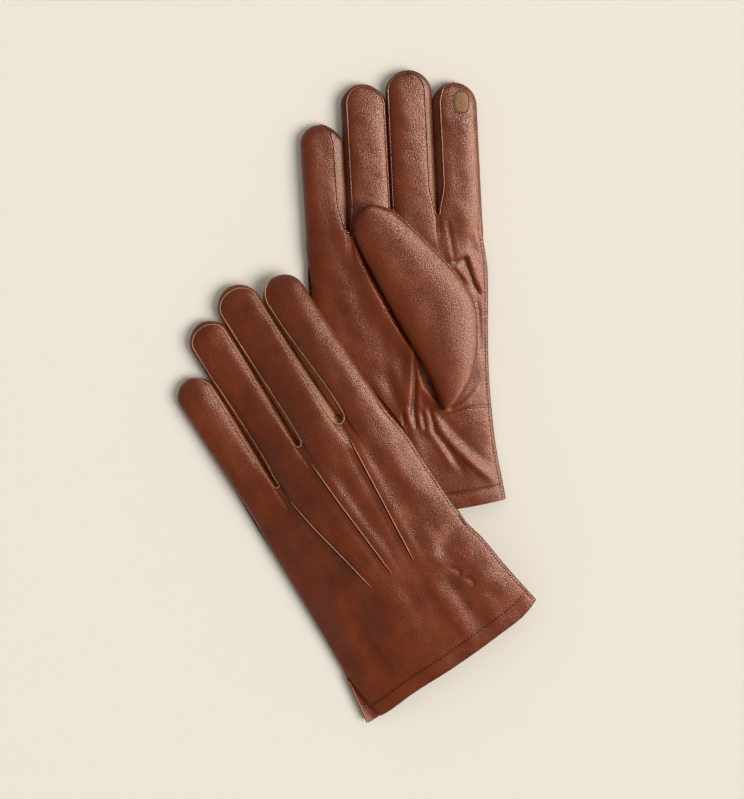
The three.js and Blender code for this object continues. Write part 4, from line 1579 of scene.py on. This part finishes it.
    def touch_pad(self) -> None:
        """The conductive patch on the tip of the index finger."""
        g = self.glove
        f = g.fingers[3]
        cx, cy = float(f.centre(f.end - 11.9)) + (3.9 if g.palm_up else 0), f.end - 11.9
        angle = np.linspace(0, 2 * math.pi, 48, endpoint=False)
        power = 2 / 3.0
        shape = np.stack([np.sign(np.cos(angle)) * np.abs(np.cos(angle)) ** power * 4.05,
                          np.sign(np.sin(angle)) * np.abs(np.sin(angle)) ** power * 6.1], -1)
        surface = self.surfaces["pad"]
        sign = 1.0 if g.palm_up else -1.0
        rings = []
        domed = ((0.04, 0.3), (0.3, 0.3), (0.6, 0.3), (0.85, 0.28), (0.95, 0.22), (1.0, 0.05), (1.0, -0.5))
        for scale, proud in domed:
            rings.append(surface.land(np.array([cx, cy]) + shape * scale, proud, below=not g.palm_up))
        work = Patchwork(g)
        index = work.add(np.stack(rings))
        work.face(np.concatenate([index, index[:, :1]], 1), flip=sign > 0)
        pad = dress(close_ends(work.make(g.name("touch_patch"))), PAD)
        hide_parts(g.name("touch_pad"))
        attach(pad, g.name("index_finger"))
        # a dark cord round the pad paints the shade of the recess between pad and leather
        ring = surface.land(np.array([cx, cy]) + shape * 1.07, 0.0, below=not g.palm_up)
        groove = dress(sweep(g, ring, (0.4, 0.3), g.name("touch_patch_edge"), closed=True), PAINTED_RECESS_SHADE)
        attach(groove, g.name("index_finger"))


@dataclass(frozen=True)
class ThumbShape:
    """Outline of a thumb lying across the palm: left edge x, y and width, from its base to its tip."""

    rows: tuple[tuple[float, float, float], ...]
    hinge: tuple[float, float, float]
    across: tuple[float, float] = (0.923, 0.385)
    turn: float = 0.0
    scale: float = 1.0
    shift: float = 0.0

    def edges(self, count: int) -> tuple[np.ndarray, np.ndarray]:
        """Left and right edge points.

        Args:
            count: Number of points on each edge.

        Returns:
            Left and right edge points in glove mm.
        """
        table = np.array(self.rows)
        at = np.arange(len(table))
        t = np.linspace(0, len(table) - 1, count)
        cols = [smooth_table(list(zip(at, table[:, i])), t) for i in range(3)]
        left = np.stack(cols[:2], -1)
        right = left + np.maximum(cols[2], 0.1)[:, None] * np.array(self.across)
        return self.moved(left), self.moved(right)

    def moved(self, p: np.ndarray) -> np.ndarray:
        """Turn and scale points about the thumb's root.

        Args:
            p: Points in glove mm.

        Returns:
            The moved points.
        """
        a = math.radians(self.turn)
        q = (p - np.array(THUMB_ROOT)) * self.scale
        x = q[:, 0] * math.cos(a) - q[:, 1] * math.sin(a)
        y = q[:, 0] * math.sin(a) + q[:, 1] * math.cos(a)
        return np.stack([x + THUMB_ROOT[0] + self.shift, y + THUMB_ROOT[1]], -1)


@dataclass
class ThumbMaker:
    """Builds the thumb of a glove: upper and lower leather, its seam and its lining."""

    maker: GloveMaker
    rows: int = 120
    cells: int = 49

    def grids(self) -> tuple[np.ndarray, np.ndarray]:
        """Upper and lower leather as grids of points.

        Returns:
            Points of the upper and of the lower leather.
        """
        g = self.maker.glove
        left, right = g.thumb.edges(self.rows)
        width = np.linalg.norm(right - left, axis=-1)
        t = np.sin(np.linspace(-1, 1, self.cells) * math.pi / 2)
        xy = mix(left[:, None, :], right[:, None, :], (t[None, :, None] + 1) / 2)
        x, y = xy[..., 0], xy[..., 1]
        full = np.sqrt(1 - (1 - np.clip(width / (22 * g.thumb.scale), 0, 1)) ** 2.4)[:, None]
        full[0] = full[-1] = 0
        if g.palm_up:
            edges = smooth_table(g.index_edge, y), smooth_table(g.little_edge, y)
            across = (2 * x - edges[0] - edges[1]) / (edges[0] - edges[1])
            base = self.maker.top.hand_z(x, y, np.clip(across, -1, 1)) + THUMB_GAP
        else:
            base = g.drape(x, y) - THUMB_GAP - THUMB_T
        middle = base + THUMB_T * 0.36
        dome = np.sqrt(np.clip(1 - np.abs(t) ** 2.5, 0, 1))[None, :]
        belly = np.sqrt(np.clip(1 - np.abs(t) ** 4.5, 0, 1))[None, :]
        rise, drop = THUMB_T * 0.64, THUMB_T * 0.36
        if not g.palm_up:
            rise, drop, middle = drop, rise, base + THUMB_T * 0.64
        high = middle + rise * dome * full + 0.2 * lumps(x, y, 24, 5) * dome
        for fold in THUMB_FOLDS:
            high = high + fold.lift(x, y) * dome
        low = middle - drop * belly * full
        return np.stack([x, y, high], -1), np.stack([x, y, low], -1)

    def blend(self, obj: bpy.types.Object) -> None:
        """Bake a thumb piece's placement into its mesh; where it would open from the hand is worked out but
        not used.

        Args:
            obj: Finished piece.
        """
        g = self.maker.glove
        hx, hy, hz = g.thumb.hinge
        start, end = g.world(np.array([hx + 2, hy, hz])), g.world(np.array([hx - 7, hy, hz]))
        g.name("hand")
        g.name("thumb")
        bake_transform(obj)

    def build(self) -> None:
        """Make the thumb."""
        g = self.maker.glove
        high, low = self.grids()
        work = Patchwork(g)
        work.face(work.add(high, worn(high, Side.TOP)))
        upper = dress(work.make(g.name("thumb_upper_leather")), LEATHER)
        work = Patchwork(g)
        work.face(work.add(low, worn(low, Side.BOTTOM)), flip=True)
        lower = dress(work.make(g.name("thumb_lower_leather")), LEATHER)
        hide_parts(g.name("thumb_leather"))
        seam = high[6:-2, -4].copy()
        seam[:, 2] += 0.12
        ridge = dress(sweep(g, seam, (0.3, 0.32), g.name("thumb_seam"), taper=(10, 6)), PIPED)
        for piece in (upper, lower, ridge):
            self.blend(piece)
        self.socket()
        self.gore(low if g.palm_up else high)

    def gore(self, facing: np.ndarray) -> None:
        """The web that joins the thumb's root to the palm, hidden while the thumb lies down.

        Args:
            facing: Grid of points of the thumb's leather that faces the palm.
        """
        g = self.maker.glove
        below = not g.palm_up
        sign = -1.0 if below else 1.0
        palm = self.maker.surfaces[Side.BOTTOM if below else Side.TOP]
        rim = facing[:, -1]
        root = (rim[:, 1] > GORE_Y[0]) & (rim[:, 1] < GORE_Y[1])
        start = facing[root, -14]
        outer = np.stack([np.full(root.sum(), g.thumb.hinge[0] + 0.5), rim[root, 1]], -1)
        share = np.linspace(0, 1, 24)
        xy = mix(start[:, None, :2], outer[:, None, :], share[None, :, None])
        buried = palm.land(xy.reshape(-1, 2), -GORE_DEPTH, below)[:, 2].reshape(xy.shape[:2])
        z = mix(start[:, None, 2] + GORE_DEPTH * sign, buried, step(0, 0.15, share)[None, :])
        work = Patchwork(g)
        work.face(work.add(np.concatenate([xy, z[..., None]], -1)))
        self.blend(dress(thicken(work.make(g.name("thumb_gore")), 0.5), LEATHER))

    def socket(self) -> None:
        """Knit round the opening between thumb and hand, seen when the thumb stands open."""
        g = self.maker.glove
        angle = np.linspace(0, 2 * math.pi, 40, endpoint=False)
        tilt = math.radians(-18)
        oval = np.stack([6.5 * np.cos(angle), 17 * np.sin(angle)], -1)
        turned = np.stack([oval[:, 0] * math.cos(tilt) - oval[:, 1] * math.sin(tilt),
                           oval[:, 0] * math.sin(tilt) + oval[:, 1] * math.cos(tilt)], -1)
        centre = np.array([30.5, 92.0])
        palm = self.maker.surfaces[Side.TOP if g.palm_up else Side.BOTTOM]
        below = not g.palm_up
        sign = -1.0 if below else 1.0
        rings = [palm.land(centre + turned * k, 0.12 * math.sqrt(1 - k * k * 0.98), below)
                 for k in (0.05, 0.35, 0.65, 0.9, 1.0)]
        rings.append(palm.land(centre + turned, -0.4, below))
        work = Patchwork(g)
        index = work.add(np.stack(rings))
        work.face(np.concatenate([index, index[:, :1]], 1), flip=sign > 0)
        patch = dress(close_ends(work.make(g.name("thumb_socket_knit"))), KNIT)
        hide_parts(g.name("thumb_lining"))
        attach(patch, g.name("hand"))
        edge = palm.land(centre + turned * 1.04, 0.0, below)
        rim = sweep(g, edge, (0.5, 0.3), g.name("thumb_socket_rim"), closed=True)
        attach(dress(rim, PIPED), g.name("hand"))


def resample(path: np.ndarray, n: int) -> np.ndarray:
    """The same path with n points, keeping each point's share of the old numbering.

    Args:
        path: Points of a line.
        n: How many points to make.

    Returns:
        The line with n points.
    """
    if len(path) == n:
        return path
    old = np.linspace(0, 1, len(path))
    new = np.linspace(0, 1, n)
    return np.stack([np.interp(new, old, path[:, i]) for i in range(3)], -1)


# ------------------------------------------------------------------ the pair
RIGHT_CUFF = ((-60, -4.6), (-30, -2.0), (0, 1.0), (30, 4.4), (48, 7.6), (60, 10.2))
LEFT_CUFF = ((-60, -5.2), (-50, -5.5), (-30, -3.8), (0, -3.4), (30, -1.7), (50, 0.4), (60, 3.6))
INDEX_EDGE = ((-6, 61), (4, 59.4), (22, 56), (34, 53.6), (44, 52), (60, 50.2), (75, 48.9), (150, 47.5),
              (190, 45.4))
LEFT_INDEX_EDGE = ((-6, 61.2), (4, 59.4), (22, 56.3), (34, 54.5), (44, 53.4), (53, 52.0), (61, 49.9),
                   (72, 49.0),
                   (150, 47.5), (190, 45.4))
LITTLE_EDGE = ((45, -56.6), (75, -55.8), (110, -55.2), (148, -55.4), (190, -57.5))
VENT_TOP = ((-6, -53.4), (4, -55.2), (16, -56.9), (26, -57.3))
VENT_BOTTOM = ((-6, -61.6), (4, -60.4), (16, -58.6), (26, -57.5))
POINTS = {
    "point_index_middle": [(18.7, 140.5), (16.2, 110), (14.0, 84), (12.2, 62)],
    "point_middle_ring": [(-7.8, 141.5), (-6.4, 115), (-4.4, 88), (-2.5, 61.5)],
    "point_ring_little": [(-30.2, 129.5), (-26.4, 107), (-21.4, 84), (-16.8, 61.6)],
}
THUMB_ROWS = ((21.0, 60.9, 6.2), (19.9, 63.4, 12.2), (17.5, 71, 21.8), (13.6, 80.6, 29.6), (8.1, 90.5, 36.5),
              (-0.5, 105.5, 44), (-9.3, 121.2, 44), (-17, 135.6, 39.7), (-24, 149, 35), (-29, 160, 30),
              (-30.3, 167, 25), (-29, 172.5, 17), (-25.5, 177, 8), (-22, 180.2, 0.2))
THUMB_FOLDS = (
    Fold((22, 112), (-14, 158), 7.0, -0.35),
    Fold((30, 84), (20, 128), 6.0, 0.35),
)
RIGHT_FOLDS = (
    # the ridge beside the thumb and the hollow below it
    Fold((-35, 169), (3.2, 95), 4.4, 2.1, 0.68, 2.6),
    Fold((3.6, 103), (1.4, 57), 3.0, 1.6, 0.6, -1.0),
    Fold((-27, 159), (8, 96), 2.2, -1.5, 0.0, 0.8),
    Fold((5.0, 93), (4.6, 62), 1.3, -0.9),
    # lip of the thumb's opening
    Fold((5.4, 98), (9.8, 74), 2.0, 1.1, 0.6, 0.8),
    Fold((9.0, 77), (26, 61.0), 2.0, 1.3, 0.6, 2.2),
    Fold((12.5, 80), (25, 66), 2.2, -1.2),
    Fold((26, 60.4), (42, 75), 1.6, 0.8, 0.2, 1.5),
    # pleats gathered at the wrist
    Fold((0.0, 63.5), (3.8, 51.0), 1.7, 0.5, 0.2),
    Fold((7.2, 61.5), (9.4, 48.5), 1.4, 0.45, -0.2, 0.4),
    Fold((11.4, 62.5), (14.0, 50.0), 1.5, 0.45),
    Fold((15.6, 60.5), (22.4, 49.5), 1.9, 0.6, 0.2),
    Fold((4.2, 64), (6.0, 51), 1.3, -0.8),
    Fold((9.6, 60), (11.6, 49), 1.1, -0.6),
    Fold((13.6, 62), (17.0, 51), 1.2, -0.8),
    Fold((-2.4, 60), (-0.4, 53), 1.3, -0.6),
    Fold((0.5, 60), (-9, 88), 3.4, 0.5, 0.0, 1.2),
    Fold((-2, 58), (-24, 80), 4.6, 0.5, 0.0, 1.5),
    Fold((8, 62), (7.6, 76), 1.6, 0.5),
    Fold((17, 54.5), (50, 21), 3.2, 1.3, -0.45, 2.0),
    Fold((19, 58.5), (50, 29), 3.6, -0.8, 0.0, 1.5),
    Fold((10, 53), (26, 30), 2.2, 0.75, 0.0, -1.0),
    Fold((14, 52), (34, 25), 2.0, -0.6),
    Fold((4, 51), (9, 28), 3.2, 0.5),
    Fold((44, 58), (52, 42), 5.0, 0.7),
    Fold((23, 59), (49, 64), 0.9, -0.55, 0.0, -1.0),
    # crotch of thumb and index
    Fold((27.4, 147.0), (35.4, 149.4), 1.3, -0.85),
    Fold((34.8, 149.4), (42.4, 129), 1.5, -1.2, 0.2, 1.0),
    Fold((24, 149.4), (37, 153), 2.8, 0.5, -0.4, 0.8),
    Fold((37.2, 152), (45.6, 129.5), 2.8, 0.7, -0.4, 1.0),
    Fold((29.4, 145.6), (37.0, 136), 2.2, 0.6),
    Fold((31, 143.6), (35.4, 147), 2.2, -0.6),
    Fold((24, 172), (28.2, 149), 1.4, -0.45),
    Fold((37, 163), (43, 146), 2.6, -0.5),
    Fold((41.4, 126), (45.0, 92), 1.7, -0.7),
    # soft waves of the palm
    Fold((-48, 150), (-22, 100), 6.5, 0.6),
    Fold((-14, 112), (-8, 66), 4.0, -0.5),
    Fold((-40, 96), (-18, 60), 7.0, -0.6),
)
LEFT_FOLDS = (
    # swelling on both sides of the three points, and the dent above each
    Fold((21.9, 142), (15.4, 62), 2.6, 0.5),
    Fold((15.3, 142), (9.0, 62), 2.0, -0.35),
    Fold((-4.5, 143), (0.8, 62), 2.6, 0.5),
    Fold((-11.0, 143), (-5.6, 62), 2.0, -0.35),
    Fold((-26.8, 131), (-13.4, 62), 2.6, 0.5),
    Fold((-33.2, 131), (-19.8, 62), 2.0, -0.35),
    Fold((19, 150), (18.6, 138), 1.6, -0.5),
    Fold((-8.5, 151), (-7.8, 139), 1.6, -0.5),
    Fold((-31, 138), (-29.8, 127), 1.6, -0.5),
    # wrist: notch, swelling below it and small dents
    Fold((52, 66), (26, 56), 4.6, -1.3, 0.0, 1.5),
    Fold((54, 54), (34, 47), 5.0, 1.1, 0.0, 1.0),
    Fold((27.4, 47.5), (30.8, 39.5), 1.7, -0.6, 0.0, -0.9),
    Fold((31.4, 37.6), (34.4, 30.5), 1.7, -0.55, 0.0, -0.9),
    Fold((13.6, 44), (15, 2), 5.0, 0.9, -0.3),
    Fold((22, 44), (25, 4), 6.5, -1.2),
    Fold((-33, 74), (-46, 36), 6.0, 1.6, 0.2, 1.5),
    Fold((-25, 62), (-38, 24), 6.5, -1.2),
    Fold((-40, 38), (-46, 14), 5.0, 1.3, 0.0, 1.0),
    Fold((-12, 56), (-24, 8), 7.0, 0.8, 0.0, 2.0),
    Fold((2, 56), (-6, 8), 7.0, -0.8, 0.0, 1.5),
    Fold((38, 36), (50, 12), 6.0, 0.7, 0.0, -2.0),
    # soft waves of the back
    Fold((30, 150), (38, 84), 8.0, 0.9, 0.0, 2.0),
    Fold((24, 128), (26, 72), 6.0, -0.6),
    Fold((2, 134), (4, 76), 5.0, -0.45),
    Fold((-42, 130), (-40, 84), 6.0, 0.6),
)
RIGHT = Glove(
    side="right", palm_up=True, turn=0.0, place=(30.4586, -70.1547),
    fingers=(
        Finger("little", -45.6, -50.2, 227.4, 24.0, 176, -1, inset_right=4.6, band=1.6, fork_right=164),
        Finger("ring", -20.0, -25.2, 251.1, 24.6, 186, inset_left=2.5, inset_right=0.7, band=1.6,
               fork_left=164),
        Finger("middle", 6.0, 1.2, 259.3, 25.6, 187, inset_left=0.7, inset_right=3.7, band=1.6,
               fork_right=174.5),
        Finger("index", 32.6, 27.8, 252.3, 25.6, 187, 1, inset_left=4.3, band=1.6, fork_left=174.5),
    ),
    web_top=(164.0, 175.5, 174.5), web_bottom=(146.0, 155.0, 155.0),
    folds=RIGHT_FOLDS, cuff=RIGHT_CUFF, index_edge=INDEX_EDGE, little_edge=LITTLE_EDGE, vent_top=VENT_TOP,
    vent_bottom=VENT_BOTTOM, thumb=ThumbShape(THUMB_ROWS, (42.8, 95, 11.2)),
    splits={"little": 168.5, "ring": 179.0, "middle": 179.0, "index": 178.5},
)
LEFT = Glove(
    side="left", palm_up=False, turn=32.5, place=(57.4286, -153.0947),
    fingers=(
        Finger("little", -43.4, -44.0, 219.3, 22.0, 166, -1, inset_right=1.0, band=2.6,
               pull_right=1.2),
        Finger("ring", -20.0, -19.6, 243.0, 22.4, 178, inset_left=0.8, inset_right=1.2, band=2.6,
               pull_left=1.0, pull_right=1.1),
        Finger("middle", 5.2, 5.6, 251.7, 24.0, 179, inset_left=0.8, inset_right=1.0, band=2.6,
               pull_left=0.8, pull_right=1.0),
        Finger("index", 33.2, 31.2, 242.5, 24.0, 178, 1, inset_left=1.0, band=2.4, pull_left=1.8),
    ),
    web_top=(138.2, 151.5, 150.0), web_bottom=(155.0, 168.0, 167.0),
    folds=LEFT_FOLDS, cuff=LEFT_CUFF, index_edge=LEFT_INDEX_EDGE, little_edge=LITTLE_EDGE, vent_top=VENT_TOP,
    vent_bottom=VENT_BOTTOM,
    thumb=ThumbShape(THUMB_ROWS, (46.9, 95, 21.2), turn=-14.0, scale=0.85, shift=-2.5),
    splits={"little": 159.0, "ring": 171.0, "middle": 172.0, "index": 171.0},
)


# ------------------------------------------------------------------ studio
@dataclass(frozen=True)
class Studio:
    """Pale table, soft light and the camera straight above."""

    lens: float = 120.0
    view_height: float = 0.4634
    aim: tuple[float, float] = (0.01074, -0.00258)
    plane: float = 0.012

    def build(self) -> None:
        """Make the floor, the lights, the world and the camera."""
        scene = bpy.context.scene
        scene.view_settings.view_transform = "Standard"
        mesh = bpy.data.meshes.new("table_top")
        s = 3.0
        mesh.from_pydata([(-s, -s, 0), (s, -s, 0), (s, s, 0), (-s, s, 0)], [], [(0, 1, 2, 3)])
        floor = bpy.data.objects.new("table_top", mesh)
        scene.collection.objects.link(floor)
        mat = bpy.data.materials.new("pale_paper")
        mat.use_nodes = True
        shader = mat.node_tree.nodes["Principled BSDF"]
        shader.inputs["Base Color"].default_value = (0.845, 0.785, 0.68, 1)
        shader.inputs["Roughness"].default_value = 0.9
        shader.inputs["Specular IOR Level"].default_value = 0.1
        mesh.materials.append(mat)
        world = bpy.data.worlds.new("studio")
        scene.world = world
        world.use_nodes = True
        back = world.node_tree.nodes["Background"]
        back.inputs["Color"].default_value = (1.0, 0.985, 0.96, 1)
        back.inputs["Strength"].default_value = 0.30
        self.sun("key", (0.80, -0.26, 0.92), 2.72, 38.0)
        self.sun("fill", (0.1, 0.8, 1.2), 0.25, 60.0)
        self.softbox("high_box", (0.40, 0.36, 0.43), (0.08, 0.15, 0.0), 0.26, 12.5)
        self.softbox("side_box", (0.80, -0.02, 0.30), (0.05, 0.0, 0.0), 0.36, 16.0)
        camera = bpy.data.cameras.new("camera")
        camera.lens = self.lens
        camera.sensor_width = 36.0
        obj = bpy.data.objects.new("camera", camera)
        scene.collection.objects.link(obj)
        distance = self.view_height * self.lens / 36.0
        obj.location = (self.aim[0], self.aim[1], distance + self.plane)
        scene.camera = obj

    def softbox(self, name: str, place: tuple[float, float, float], aim: tuple[float, float, float],
                size: float,
                power: float) -> None:
        """A warm square light that only adds gloss.

        Args:
            name: Its name.
            place: Where it stands, in metres.
            aim: The point it faces.
            size: Its side in metres.
            power: Its power in watts.
        """
        light = bpy.data.lights.new(name, "AREA")
        light.energy = power
        light.size = size
        light.color = (1.0, 0.70, 0.55)
        obj = bpy.data.objects.new(name, light)
        obj.location = place
        obj.rotation_euler = (Vector(place) - Vector(aim)).to_track_quat("Z", "Y").to_euler()
        obj.visible_diffuse = False
        bpy.context.scene.collection.objects.link(obj)

    def sun(self, name: str, towards: tuple[float, float, float], strength: float, angle: float) -> None:
        """A soft distant light seen in the given direction.

        Args:
            name: Its name.
            towards: Direction from the table to the light.
            strength: Its strength.
            angle: How wide it is, in degrees.
        """
        light = bpy.data.lights.new(name, "SUN")
        light.energy = strength
        light.angle = math.radians(angle)
        obj = bpy.data.objects.new(name, light)
        obj.rotation_euler = Vector(towards).to_track_quat("Z", "Y").to_euler()
        obj.visible_glossy = False
        bpy.context.scene.collection.objects.link(obj)


def main() -> None:
    """Build the pair round the loaded frame."""
    logging.basicConfig(level=logging.INFO, format="%(message)s")
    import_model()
    Studio().build()
    sewing = Stitching()
    for glove in (RIGHT, LEFT):
        GloveMaker(glove).build(sewing)
        log.info("%s glove built", glove.side)


if __name__ == "__main__":
    main()
